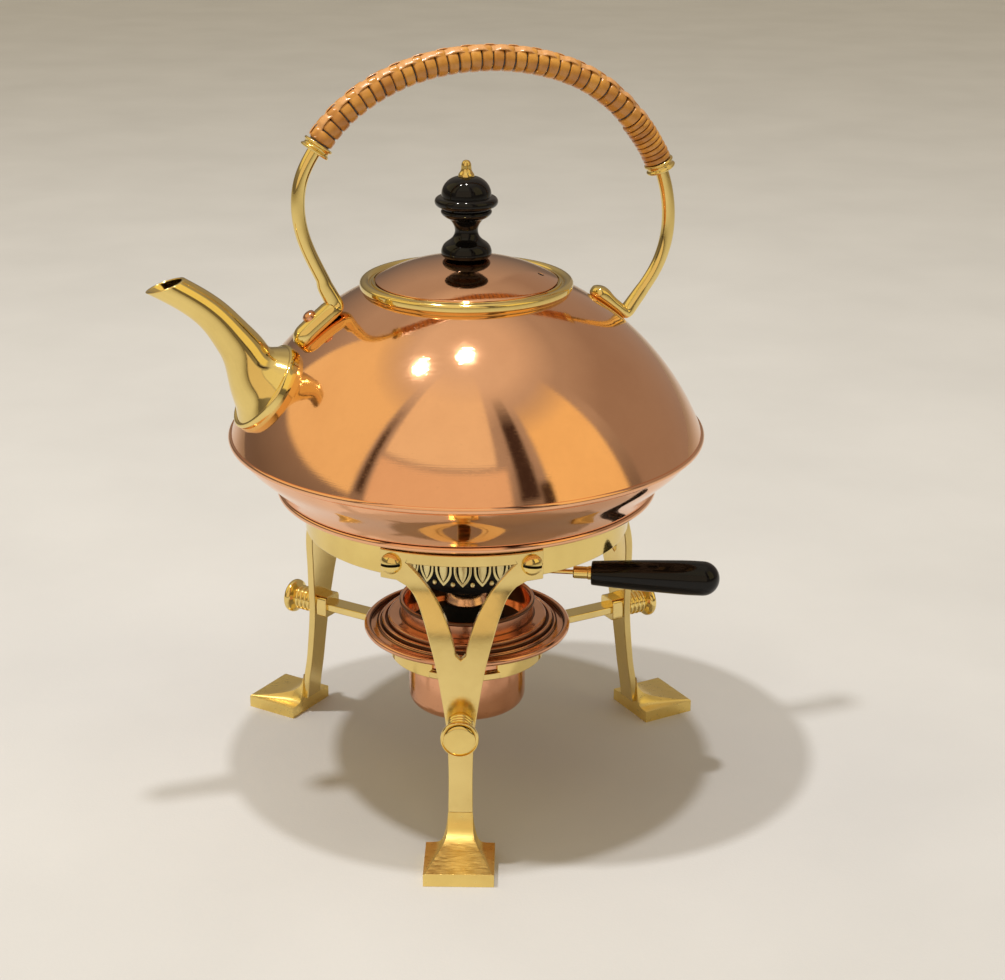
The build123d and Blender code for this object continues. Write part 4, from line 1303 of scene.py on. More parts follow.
@dataclass
class Lid(Assembly):
    """Lift-out lid with a black knob and brass finial.

    Attributes:
        edge_r: Radius of the lid.
        edge_z: Height of its edge.
        top_z: Height of the dome under the knob.
        vent: Place of the steam vent about the axis.
        vent_r: Radius of the vent.
        stud_r: Radius of the stud through the knob.
    """

    edge_r: float = 32.1
    edge_z: float = 186.9
    top_z: float = 194.5
    vent: Point = (26.0, -4.0)
    vent_r: float = 1.1
    stud_r: float = 1.4

    def _dome(self) -> None:
        """Low dome pierced by the steam vent."""
        top = smooth_line([(0.0, self.top_z), (13.0, 193.3), (24.0, 190.4), (31.8, self.edge_z)], 14,
                          (1, 0), (1, -0.52))
        under = smooth_line([(29.4, 186.9), (23.5, 189.4), (12.8, 192.3), (0.0, 193.4)], 8,
                            (-1, 0.5), (-1, 0))
        edge = [(32.05, 186.7), (self.edge_r, 186.45), (self.edge_r, 185.9), (31.9, 185.55), (31.6, 185.5)]
        outline = top + edge + [(29.5, 185.5), (29.4, 185.7)] + under
        piece = turned(outline, 224).mesh("copper_lid", upright())
        cutter = turned([(0.0, 180.0), (self.vent_r, 180.0), (self.vent_r, 200.0), (0.0, 200.0)], 32)
        moved = Matrix.Translation((self.vent[0], self.vent[1], 0.0))
        cut_away(piece, cutter.mesh("vent tool", upright() @ moved))
        soften(piece, 0.0)
        self.dress(piece, self.finishes.copper, "lid", "lid_dome")
        self._vent_painted_shade(top)

    def _vent_painted_shade(self, dome: list) -> None:
        """Black sheet of painted shade in the vent, which follows the dome just below it.

        Args:
            dome: Points of the dome's outer line.
        """
        x0, y0 = self.vent
        wide = self.vent_r + 0.03
        shade = Shape()
        rows = []
        for radius, sunk in ((wide, 2.6), (wide, 0.10), (0.7, 0.12), (0.2, 0.14)):
            row = []
            for k in range(32):
                t = 2 * math.pi * k / 32
                x, y = x0 + radius * math.cos(t), y0 + radius * math.sin(t)
                height = float(np.interp(math.hypot(x, y), [r for r, _ in dome], [z for _, z in dome]))
                row.append((x, y, height - sunk))
            rows.append(row)
        shade.rod(rows)
        # Black metal as painted shade in the vent.
        dark = shade.mesh("vent_shade", upright())
        self.dress(dark, self.finishes.black_metal, "lid", "lid_dome")

    def _knob(self) -> None:
        """Turned knob: flared foot, waist, bead and domed top."""
        foot = smooth_line([(8.0, 194.75), (8.75, 195.6), (8.75, 197.2), (7.9, 199.0), (5.2, 201.2),
                            (4.05, 203.6), (4.5, 205.9), (6.6, 208.4)], 6, (1, 0.4), (1, 0.75))
        ring = smooth_line([(6.6, 208.4), (8.3, 209.5), (8.9, 210.6), (8.2, 211.6)], 5, (1, 0.3), (-1, 0.6))
        bead = arc((9.3, 214.1), 1.75, -75, 75, 12)
        dome = smooth_line([(8.7, 216.1), (8.45, 218.2), (7.1, 220.6), (4.9, 222.2), (2.6, 222.8)], 8,
                           (0.0, 1), (-1, 0.1))
        outline = ([(self.stud_r, 194.6), (7.6, 194.6)] + foot + ring[1:] + [(8.3, 212.0)] + bead
                   + [(9.0, 215.95)] + dome + [(self.stud_r, 222.8)])
        self.turn("black_knob", outline, self.finishes.black, "lid", "lid_knob", segments=112)

    def _finial(self) -> None:
        """Brass acorn with slots down its sides, on the stud through the knob."""
        tip = smooth_line([(2.85, 222.9), (2.7, 223.6), (2.1, 224.5), (1.8, 225.6), (1.7, 226.9),
                           (1.3, 227.9), (0.6, 228.4), (0.0, 228.5)], 4)
        stud = self.stud_r
        outline = [(0.0, 191.6), (2.8, 191.6), (2.8, 192.6), (stud, 193.0), (stud, 222.85)] + tip
        rows, segments = [], 60
        for r, z in outline:
            row = []
            for k in range(segments):
                t = 2 * math.pi * k / segments
                slot = max(0.0, math.cos(3 * (t - math.radians(20.0)))) ** 14
                deep = 0.5 * slot * min(1.0, max(0.0, (z - 224.3) / 0.8)) * min(1.0, max(0.0, (228.2 - z)))
                row.append(((r - min(deep, r)) * math.sin(t), -(r - min(deep, r)) * math.cos(t), z))
            rows.append(row)
        shape = Shape()
        shape.grid(rows, loop=True)
        piece = shape.mesh("brass_finial", upright(), Corner.SOFT)
        soften(piece, 0.0)
        self.dress(piece, self.finishes.brass, "lid", "lid_finial")

    def build(self) -> None:
        """Makes the dome, plug, knob and finial."""
        self._dome()
        outline = eased([(29.8, 179.8, 0.3), (30.8, 179.8, 0.3), (30.8, 185.5), (29.8, 185.5)], 3)
        self.turn("brass_plug", outline, self.finishes.brass, "lid", "lid_plug")
        self._knob()
        self._finial()


# ---------------------------------------------------------------- stand
@dataclass
class Leg:
    """Sizes and form of one cast leg, drawn with the leg towards -Y.

    Attributes:
        outer: (distance from the axis, height) points down the outer face.
        inner: The same down the inner face.
        sides: (half width, height) points down the leg.
        opening: (half width, height) points up the pointed opening.
        head_top: Height of the leg's top.
        opening_top: Height of the opening's top.
        shoulder_half: Half the width where the ears begin.
        ear_half: Half the width across the ears.
        ear_low: Height of the ears' lower edge.
        plate_half: Half the width of the foot.
        plate_r: Distances of the foot's inner and outer edges from the axis.
        plate_top: Thickness of the foot's plate.
        ridge: (distance from the axis, height) points down the middle of the foot's top.
        spread: (half width, distance from the axis) points along the tongue on the foot.
    """

    outer: tuple = ((61.5, 106.6), (61.5, 101.0), (61.5, 96.0), (62.5, 91.2), (64.9, 84.6), (66.8, 77.5),
                    (67.9, 69.0), (68.9, 59.0), (69.8, 48.0), (70.8, 38.5), (71.9, 29.0), (73.1, 20.5),
                    (74.0, 16.0), (74.35, 11.0), (74.4, 5.5))
    inner: tuple = ((58.9, 106.6), (58.9, 101.0), (58.9, 96.0), (59.7, 91.2), (61.8, 84.6), (63.7, 77.5),
                    (64.9, 69.0), (65.95, 59.0), (66.85, 48.0), (67.8, 38.5), (69.0, 29.0), (70.2, 20.5),
                    (71.2, 15.0), (72.6, 5.5))
    sides: tuple = ((22.0, 96.0), (17.3, 93.2), (14.0, 87.4), (11.0, 78.0), (8.2, 66.6), (6.2, 54.9),
                    (4.9, 46.0), (4.3, 36.0), (4.15, 25.0), (4.25, 16.0), (4.25, 5.5))
    opening: tuple = ((0.0, 70.9), (1.2, 71.9), (2.0, 74.8), (2.9, 78.4), (4.5, 83.2), (7.1, 88.4),
                      (11.1, 94.6), (14.9, 99.2), (18.2, 102.5))
    head_top: float = 106.6
    opening_top: float = 102.6
    shoulder_half: float = 22.0
    ear_half: float = 27.7
    ear_low: float = 96.0
    plate_half: float = 12.0
    plate_r: Point = (75.0, 95.5)
    plate_top: float = 4.7
    ridge: tuple = ((74.0, 17.0), (74.9, 12.8), (76.6, 10.0), (79.8, 8.0), (84.5, 6.6), (90.0, 5.5),
                    (95.5, 4.75))
    spread: tuple = ((4.25, 74.0), (4.6, 77.0), (5.8, 81.0), (7.8, 86.0), (9.7, 91.0), (11.3, 95.5))

    def _at(self, line: list, height: float) -> float:
        """Reads a line of (value, height) points at a height."""
        ordered = sorted(line, key=lambda p: p[1])
        return float(np.interp(height, [p[1] for p in ordered], [p[0] for p in ordered]))

    def _sheet(self, shape: Shape, faces: tuple, heights: list, left: float | list, right: float | list,
               columns: int, *walls: Wall) -> None:
        """Adds the front and back of one run of plate, and walls on its free edges.

        Args:
            shape: The shape that it is added to.
            faces: Lines of the outer and the inner face.
            heights: Heights of the rows.
            left: Sideways place of the left edge, the same all the way or for each height.
            right: The same for the right edge.
            columns: Facets across.
            walls: The edges that are free.
        """
        n = len(heights)
        lefts = left if isinstance(left, list) else [left] * n
        rights = right if isinstance(right, list) else [right] * n
        front, back = [], []
        for z, a, b in zip(heights, lefts, rights):
            xs = [a + (b - a) * k / columns for k in range(columns + 1)]
            for rows, line in zip((front, back), faces):
                r = self._at(line, z)
                rows.append([(x, -math.sqrt(r * r - x * x), z) for x in xs])
        shape.grid(front)
        shape.grid(back)
        edges = {Wall.LEFT: [[row[0] for row in rows] for rows in (front, back)],
                 Wall.RIGHT: [[row[-1] for row in rows] for rows in (front, back)],
                 Wall.BOTTOM: [front[0], back[0]], Wall.TOP: [front[-1], back[-1]]}
        for wall in walls:
            shape.grid(edges[wall])

    def shape(self) -> Shape:
        """The plate, as the runs below, beside and above its opening."""
        faces = tuple(smooth_line(list(line), 6, (0, -1)) for line in (self.outer, self.inner))
        side = smooth_line(list(self.sides), 6, (-1, -0.25))
        hole = smooth_line(list(self.opening), 8)
        apex, ear, top = self.opening[0][1], self.ear_low, self.opening_top
        low = list(np.linspace(6.0, apex, 44))
        high = list(np.linspace(apex, ear, 18))
        head = list(np.linspace(ear, top, 6))
        crown = [top, (top + self.head_top) / 2, self.head_top]

        def rim(sign: int, line: list, heights: list) -> list:
            """Sideways places of a line at each height, on one side."""
            return [sign * self._at(line, z) for z in heights]

        shape = Shape()
        for sign in (-1, 1):
            neck, tip, middle = sign * self.shoulder_half, sign * self.ear_half, sign * self._at(hole, top)
            for heights, left, right, columns, walls in (
                (low, 0.0, rim(sign, side, low), 6, (Wall.RIGHT, Wall.BOTTOM)),
                (high, rim(sign, hole, high), rim(sign, side, high), 6, (Wall.LEFT, Wall.RIGHT)),
                (head, rim(sign, hole, head), neck, 6, (Wall.LEFT,)),
                (head, neck, tip, 4, (Wall.RIGHT, Wall.BOTTOM)),
                (crown, 0.0, middle, 10, (Wall.BOTTOM, Wall.TOP)),
                (crown, middle, neck, 6, (Wall.TOP,)),
                (crown, neck, tip, 4, (Wall.RIGHT, Wall.TOP)),
            ):
                self._sheet(shape, faces, heights, left, right, columns, *walls)
        return shape

    def foot(self) -> Shape:
        """Square plate whose top sweeps up to the shaft in a hollow tongue that widens to the front."""
        inner, outer = self.plate_r
        reach = [(z, r) for r, z in smooth_line(list(self.ridge), 8, (0.15, -1), (1, -0.12))]
        spread = smooth_line(list(self.spread), 6)
        columns, rows = 44, 40
        top = []
        for j in range(rows + 1):
            share = j / rows
            r = inner - 0.9 + (outer - inner + 0.9) * share**1.6
            crest = self._at(reach, r)
            half = self._at(spread, r)
            row = []
            for i in range(columns + 1):
                across = 2 * i / columns - 1
                beyond = max(0.0, 2 * abs(across) - 1) ** 1.7
                wide = min(1.0, 2 * abs(across)) * half + (self.plate_half - half) * beyond
                x = math.copysign(wide, across)
                rise = (crest - self.plate_top) * (1 - beyond) ** 7 - 0.16 * beyond
                row.append((x, -r, self.plate_top + rise))
            top.append(row)
        base = [[(x, y, 0.0) for x, y, _ in row] for row in top]
        shape = Shape()
        shape.grid(top)
        shape.grid(base)
        for upper, lower in ((top[0], base[0]), (top[-1], base[-1]),
                             ([r[0] for r in top], [r[0] for r in base]),
                             ([r[-1] for r in top], [r[-1] for r in base])):
            shape.grid([upper, lower])
        return shape


@dataclass
class Stand(Assembly):
    """Three legs, the hoop between them, its screws and the thumb screws.

    Attributes:
        leg: The leg's form.
        hoop_r: Inner and outer radius of the hoop.
        hoop_z: Bottom and top of the hoop.
        hoop_end: Angle from a leg's middle to the hoop's end.
        screw_angle: Angle from a leg's middle to its ear screws.
        screw_z: Height of the ear screws.
        screw_r: Radius of their heads.
        screw_seat: Distance of their seats from the axis.
        screw_turns: Turn of each slot in degrees.
        thumb_z: Height of the thumb screws.
        thumb_neck: Distance from the axis at which their ribbed neck begins.
        thumb_rim: Distance from the axis of their flared rim.
    """

    leg: Leg = field(default_factory=Leg)
    hoop_r: Point = (57.3, 58.9)
    hoop_z: Point = (96.3, 107.0)
    hoop_end: float = 19.5
    screw_angle: float = 22.8
    screw_z: float = 101.9
    screw_r: float = 3.75
    screw_seat: float = 61.4
    screw_turns: tuple = (4.0, -8.0, 20.0, -25.0, 60.0, 10.0)
    thumb_z: float = 47.8
    thumb_neck: float = 69.9
    thumb_rim: float = 79.0

    def _legs(self) -> None:
        """Three castings, each a plate and a foot."""
        for side, angle in LEG_ANGLES.items():
            plate = self.leg.shape().mesh(f"brass_leg_{side}", upright(angle))
            soften(plate, 0.35, 3, 35.0)
            self.dress(plate, self.finishes.cast_brass, "stand", f"leg_{side}")
            foot = self.leg.foot().mesh(f"brass_foot_{side}", upright(angle))
            soften(foot, 0.3, 3, 40.0)
            # The feet take the lighter brass, painted light.
            self.dress(foot, self.finishes.foot_brass, "stand", f"leg_{side}")

    def _hoop(self) -> None:
        """Three bent bars that join the ears."""
        for name, angle in (("front_right", 0.0), ("back", 120.0), ("front_left", 240.0)):
            bar = bent_bar(*self.hoop_r, *self.hoop_z, angle + self.hoop_end,
                           angle + 120.0 - self.hoop_end, 72)
            piece = bar.mesh(f"brass_hoop_{name}", upright())
            soften(piece, 0.25, 2)
            self.dress(piece, self.finishes.brass, "stand", f"hoop_{name}")

    def _ear_screws(self) -> None:
        """Six slotted round heads, each turned its own way, with a black block of painted shade in each slot.
        """
        r = self.screw_r
        outline = [(0.0, -1.4), (r, -1.4), (r, 0.4)] + domed_head(r, 0.5, 2.5, 6, 4)
        head = turned(outline, 56).mesh("screw head", Matrix.Scale(MM, 4))
        cut_away(head, block((-5.0, -0.5, 0.7), (5.0, 0.5, 5.0)).mesh("slot", Matrix.Scale(MM, 4)))
        # A black block at the bottom of each slot, painted shade.
        painted_shade = block((-3.2, -0.49, 0.6), (3.2, 0.49, 1.5)).mesh("slot dirt", Matrix.Scale(MM, 4))
        spots = []
        seats = [angle + side * self.screw_angle for angle in LEG_ANGLES.values() for side in (-1, 1)]
        for seat, turn in zip(seats, self.screw_turns):
            place = lying(seat, self.screw_z) @ Matrix.Translation((0, 0, self.screw_seat))
            spin = place.to_quaternion()
            t = math.radians(turn)
            spots.append((place.translation, spin @ Vector((0, 0, 1)),
                          spin @ Vector((math.cos(t), math.sin(t), 0))))
        made = self.repeater.run("brass_ear_screws", head, spots, self.finishes.brass)
        made.data.set_sharp_from_angle(angle=math.radians(35.0))
        soften(made, 0.1, 2, 35.0)
        self.dress(made, self.finishes.brass, "stand", "hoop_screws")
        dark = self.repeater.run("dark_screw_slots", painted_shade, spots, self.finishes.black_metal)
        self.dress(dark, self.finishes.black_metal, "stand", "hoop_screws")

    def _thumb_screws(self) -> None:
        """Ribbed neck, flared rim and a low domed face behind a dark groove."""
        neck, rim = self.thumb_neck, self.thumb_rim
        outline = [(0.0, 63.0), (2.4, 63.0), (2.4, neck), (3.9, neck)]
        for i in range(4):
            outline += arc((3.95, neck + 0.95 + 1.9 * i), 0.86, -66, 66, 8)
        outline += smooth_line([(4.2, 77.6), (5.2, 78.2), (6.3, rim), (6.5, rim + 0.6), (6.5, rim + 1.5),
                                (6.3, rim + 1.9)], 4)
        outline += [(6.05, rim + 1.95), (5.95, rim + 0.9), (5.45, rim + 0.9), (5.45, rim + 1.9),
                    (5.35, rim + 2.3), (5.0, rim + 2.6)]
        outline += smooth_line([(5.0, rim + 2.6), (3.0, rim + 2.95), (0.0, rim + 3.1)], 4)
        for side, angle in LEG_ANGLES.items():
            self.turn(f"brass_thumb_screw_{side}", outline, self.finishes.brass, f"thumb_{side}",
                      f"thumb_screw_{side}", matrix=lying(angle, self.thumb_z), segments=96)

    def build(self) -> None:
        """Makes the legs, hoop and screws."""
        self._legs()
        self._hoop()
        self._ear_screws()
        self._thumb_screws()


@dataclass
class Holder(Assembly):
    """Band that the burner hangs in, and the arms that carry it.

    Attributes:
        band_r: Inner and outer radius of the band.
        band_z: Bottom and top of the band.
        notch_half: Half the angle of each notch.
        notch_z: Height of a notch's floor.
        saddle_t: Thickness of the saddle on the band.
        arm_half: Half the width of an arm.
        arm_z: Bottom and top of an arm.
        block_r: Distances of the end block from the axis.
        block_z: Bottom and top of the end block.
        block_half: Half the width of the end block.
    """

    band_r: Point = (27.2, 28.8)
    band_z: Point = (44.1, 53.6)
    notch_half: float = 24.5
    notch_z: float = 47.6
    saddle_t: float = 1.5
    arm_half: float = 3.5
    arm_z: Point = (46.4, 49.2)
    block_r: Point = (62.0, 66.7)
    block_z: Point = (43.6, 52.0)
    block_half: float = 4.5

    def _band(self) -> None:
        """Round band with a notch over each arm."""
        stops = []
        for angle in LEG_ANGLES.values():
            a, b = angle - self.notch_half, angle + self.notch_half
            stops += [(a + (b - a) * k / 16, self.notch_z) for k in range(17)]
            stops += [(b + (angle + 120 - self.notch_half - b) * k / 24, self.band_z[1]) for k in range(25)]
        shape = Shape()
        shape.grid([bar_section(*self.band_r, self.band_z[0], top, turn) for turn, top in stops],
                   loop=True, wrap=True)
        piece = shape.mesh("brass_band", upright())
        soften(piece, 0.2, 2)
        self.dress(piece, self.finishes.brass, "stand", "holder_band")

    def _arm(self, side: str, angle: float) -> None:
        """Saddle on the band, flat arm and end block behind the leg."""
        half = self.notch_half + 1.0
        shape = bent_bar(self.band_r[1], self.band_r[1] + self.saddle_t, self.band_z[0] + 0.8,
                         self.notch_z - 0.1, -half, half, 24)
        shape.join(block((-self.arm_half, -self.block_r[0] - 0.5, self.arm_z[0]),
                         (self.arm_half, -self.band_r[1] - 0.4, self.arm_z[1])))
        lug = eased([(-self.block_half, self.block_z[0], 1.6), (self.block_half, self.block_z[0], 1.6),
                     (self.block_half, self.block_z[1], 1.6), (-self.block_half, self.block_z[1], 1.6)], 5)
        shape.rod([[(x, y, z) for x, z in lug] for y in (-self.block_r[0], -self.block_r[1])])
        piece = shape.mesh(f"brass_arm_{side}", upright(angle))
        soften(piece, 0.3, 2)
        self.dress(piece, self.finishes.cast_brass, "stand", f"holder_arm_{side}")

    def build(self) -> None:
        """Makes the band and its arms."""
        self._band()
        for side, angle in LEG_ANGLES.items():
            self._arm(side, angle)


# ---------------------------------------------------------------- burner
@dataclass
class Burner(Assembly):
    """Spirit burner: spun reservoir, stepped saucer, cup, neck and wick.

    Attributes:
        reservoir_r: Radius of the reservoir.
        reservoir_z: Bottom and top of the reservoir.
        cup_r: Radius of the cup.
        cup_z: Foot and rim of the cup.
        sheet: Thickness of the copper.
        neck_r: Radius of the bright ring on the neck.
        wick_r: Radius of the wick.
    """

    reservoir_r: float = 21.9
    reservoir_z: Point = (23.6, 54.0)
    cup_r: float = 24.8
    cup_z: Point = (59.4, 65.6)
    sheet: float = 1.0
    neck_r: float = 8.2
    wick_r: float = 4.7

    def _reservoir(self) -> None:
        """Spun pot that holds the spirit."""
        r, (low, high), t = self.reservoir_r, self.reservoir_z, self.sheet
        outline = eased([(0.0, low), (r, low, 4.5), (r, high), (r - t, high), (r - t, low + t, 3.5),
                         (0.0, low + t)], 8)
        self.turn("copper_reservoir", outline, self.finishes.warm_copper, "burner", "burner_reservoir",
                  segments=128)

    def _saucer(self) -> None:
        """Wide saucer that steps up to the cup, with a rolled rim and two beads."""
        rim = arc((37.15, 55.25), 1.25, -95, 140, 14)
        steps = smooth_line([(36.2, 55.05), (35.6, 55.05), (34.7, 55.25), (33.8, 55.55), (33.35, 55.9)], 4)
        steps += arc((32.75, 56.3), 0.45, -20, 190, 8) + [(32.0, 56.2)]
        steps += arc((31.1, 57.35), 0.8, -25, 185, 10) + [(30.2, 57.2), (29.75, 57.3)]
        steps += smooth_line([(29.55, 58.3), (29.4, 58.9), (29.0, 59.2), (27.6, 59.3), (25.6, 59.4)], 4)
        outline = [(14.0, 54.0), (36.9, 54.0)] + rim + steps + [(23.9, 59.4), (23.9, 55.0), (14.0, 55.0)]
        self.turn("copper_saucer", outline, self.finishes.warm_copper, "burner", "burner_saucer",
                  segments=224)

    def _cup(self) -> None:
        """Cup with a rolled lip."""
        foot, top = self.cup_z
        inside = self.cup_r - self.sheet
        lip = arc((self.cup_r - 0.35, top - 0.75), 0.8, -60, 240, 14)
        outline = [(inside, foot), (self.cup_r, foot), (self.cup_r, top - 1.5)] + lip + [(inside, top - 1.6)]
        self.turn("copper_cup", outline, self.finishes.warm_copper, "burner", "burner_cup", segments=192)

    def _neck(self) -> None:
        """Neck painted black as the shade under the cap, with its bright ring."""
        bore, low, high = 5.0, 55.0, 70.0
        neck = smooth_line([(11.4, 58.0), (9.2, 59.2), (7.4, 61.4), (6.4, 64.0), (6.4, high)], 6,
                           (-1, 0.2), (0.0, 1))
        foot = [(bore, low), (13.8, low), (13.8, 57.0), (13.4, 57.4), (12.0, 57.6)]
        # The neck is black metal, painted shade under the cap.
        self.turn("sooty_neck", foot + neck + [(bore, high)], self.finishes.black_metal, "burner",
                  "burner_neck", segments=112)
        # The ring takes the lighter copper, painted light under the cap.
        ring = smooth_line([(7.7, 63.8), (self.neck_r, 64.4), (7.9, 65.4), (7.0, 67.4), (6.6, 67.9)], 5)
        self.turn("copper_neck_ring", [(bore, 63.8)] + ring + [(bore, 67.9)], self.finishes.neck_copper,
                  "burner", "burner_neck", segments=112)

    def build(self) -> None:
        """Makes the reservoir, saucer, cup, neck and wick."""
        self._reservoir()
        self._saucer()
        self._cup()
        self._neck()
        outline = eased([(0.0, 27.0), (self.wick_r, 27.0, 1.0), (self.wick_r, 72.0, 1.2), (0.0, 72.0)], 4)
        self.turn("cotton_wick", outline, self.finishes.cotton, "burner", "wick", segments=48)


@dataclass
class Regulator(Assembly):
    """Cap over the wick with its ornamented band, and the long handle that turns it.

    Attributes:
        cap_r: Radius of the cap under its band.
        cap_z: Bottom and top of the band.
        eggs: Number of eggs round the band.
        rod_angle: Direction of the handle.
        rod_z: Height of the handle.
        rod_r: Radius of the rod.
        ferrule_r: Radius of the ferrule.
        ferrule_span: Distances of the ferrule from the axis.
        grip_end: Distance of the grip's end from the axis.
    """

    cap_r: float = 22.4
    cap_z: Point = (78.6, 87.6)
    eggs: int = 20
    rod_angle: float = 84.0
    rod_z: float = 77.4
    rod_r: float = 0.9
    ferrule_r: float = 2.3
    ferrule_span: Point = (39.5, 46.2)
    grip_end: float = 93.2

    @staticmethod
    def _edge(half: float, low: float, high: float) -> list:
        """Points of a pointed curve from its tip up one side, straight near the top."""
        stops = [low + (high - low) * (k / 14) ** 1.5 for k in range(15)]
        return [(half * (1 - max(0.0, 1 - (z - low) / (0.75 * (high - low))) ** 2.2), z) for z in stops]

    def _leaf(self, half: float, low: float, high: float, depth: float) -> Shape:
        """A flat pointed leaf, widest at its top, drawn facing +Z."""
        side = self._edge(half, low, high)
        ring = [(-x, z) for x, z in reversed(side)] + side[1:]
        middle = low + (high - low) * 0.62
        crown = [(x * 0.78, middle + (z - middle) * 0.88, depth) for x, z in ring]
        back = [(x, z, -0.2) for x, z in ring]
        shape = Shape()
        shape.rod([back, [(x, z, depth * 0.6) for x, z in ring], crown])
        return shape

    def _border(self, half: float, low: float, high: float, width: float, depth: float) -> Shape:
        """A raised line round a leaf: down one side, round its point and up the other."""
        outer = self._edge(half, low, high)
        inner = [(max(0.0, x), z) for x, z in self._edge(half - width, low + width * 1.5, high)]
        rows = []
        pairs = list(zip(outer, inner))
        for sign, order in ((-1, pairs[::-1]), (1, pairs[1:])):
            for (x0, z0), (x1, z1) in order:
                middle = (sign * (x0 + x1) / 2, (z0 + z1) / 2, depth)
                rows.append([(sign * x0, z0, -0.2), (sign * x0, z0, depth * 0.7), middle,
                             (sign * x1, z1, depth * 0.7), (sign * x1, z1, -0.2)])
        shape = Shape()
        shape.rod(rows)
        return shape

    def _band(self) -> None:
        """Brass leaves, their borders and the drops between them, on a black ground."""
        low, high = self.cap_z
        pitch = 2 * math.pi * self.cap_r / self.eggs
        motif = self._leaf(pitch * 0.215, low + 1.5, high - 0.45, 0.55)
        motif.join(self._border(pitch * 0.455, low + 0.05, high - 0.45, 0.85, 0.5))
        drop = turned([(0.0, -0.2), (0.85, -0.2), (0.8, 0.25), (0.5, 0.45), (0.0, 0.52)], 18)
        motif.add([(x + pitch / 2, y * 1.15 + low + 0.95, z) for x, y, z in drop.points], drop.faces)
        motif.points = [(x, y - (low + high) / 2, z) for x, y, z in motif.points]
        piece = motif.mesh("leaf", Matrix.Scale(MM, 4), Corner.SOFT)
        spots = []
        for k in range(self.eggs):
            place = lying(-2.0 + 360.0 * k / self.eggs, (low + high) / 2)
            place = place @ Matrix.Translation((0, 0, self.cap_r))
            spin = place.to_quaternion()
            spots.append((place.translation, spin @ Vector((0, 0, 1)), spin @ Vector((1, 0, 0))))
        made = self.repeater.run("brass_leaves", piece, spots, self.finishes.relief_brass)
        self.dress(made, self.finishes.relief_brass, "regulator", "regulator_band")

    def _cap(self) -> None:
        """Dark dished cap with a thin brass line at the top of its band."""
        low, high = self.cap_z
        r = self.cap_r
        bowl = smooth_line([(7.9, 70.4), (12.0, 71.2), (17.0, 73.6), (20.6, 76.3), (r - 0.1, low)], 8,
                           (1, 0.05), (0.5, 1))
        crown = smooth_line([(r, high), (20.0, 88.9), (0.0, 90.4)], 8, (-0.6, 1), (-1, 0))
        outline = [(0.0, 76.0), (7.6, 76.0), (7.6, 70.4)] + bowl + [(r, low + 0.2)] + crown
        self.turn("black_cap", outline, self.finishes.black_metal, "regulator", "regulator_cap", segments=160)
        self.turn("brass_band_line", eased([(r - 0.4, high - 0.5), (r + 0.4, high - 0.5, 0.2),
                                            (r + 0.4, high, 0.2), (r - 0.4, high)], 3),
                  self.finishes.relief_brass, "regulator", "regulator_band", segments=160)

    def _handle(self) -> None:
        """Thin rod, ferrule and the black grip."""
        along = lying(self.rod_angle, self.rod_z)
        first, last = self.ferrule_span
        f, black, brass = self.ferrule_r, self.finishes.black, self.finishes.brass
        end = first + 0.3
        self.turn("brass_rod", [(0.0, 20.4), (self.rod_r, 20.4), (self.rod_r, end), (0.0, end)],
                  brass, "regulator", "regulator_rod", matrix=along, segments=32)
        outline = [(0.0, first), (f - 0.3, first), (f, first + 0.35), (f, last - 1.4), (f + 0.05, last - 1.3),
                   (f + 0.25, last - 1.1), (f + 0.25, last), (0.0, last)]
        self.turn("brass_ferrule", outline, brass, "regulator", "regulator_ferrule", matrix=along,
                  segments=64)
        flank = smooth_line([(4.5, last + 0.5), (5.1, 55.0), (5.7, 65.0), (6.15, 75.0), (6.4, 83.0),
                             (6.35, 87.0)], 6, None, (-0.02, 1))
        r, shoulder = flank[-1]
        tip = domed_head(r, shoulder, self.grip_end - shoulder, 6, 6)
        self.turn("black_grip", [(0.0, last), (3.9, last), (4.3, last + 0.15)] + flank + tip,
                  black, "regulator", "regulator_grip", matrix=along, segments=80)

    def build(self) -> None:
        """Makes the cap, band and handle."""
        self._cap()
        self._band()
        self._handle()


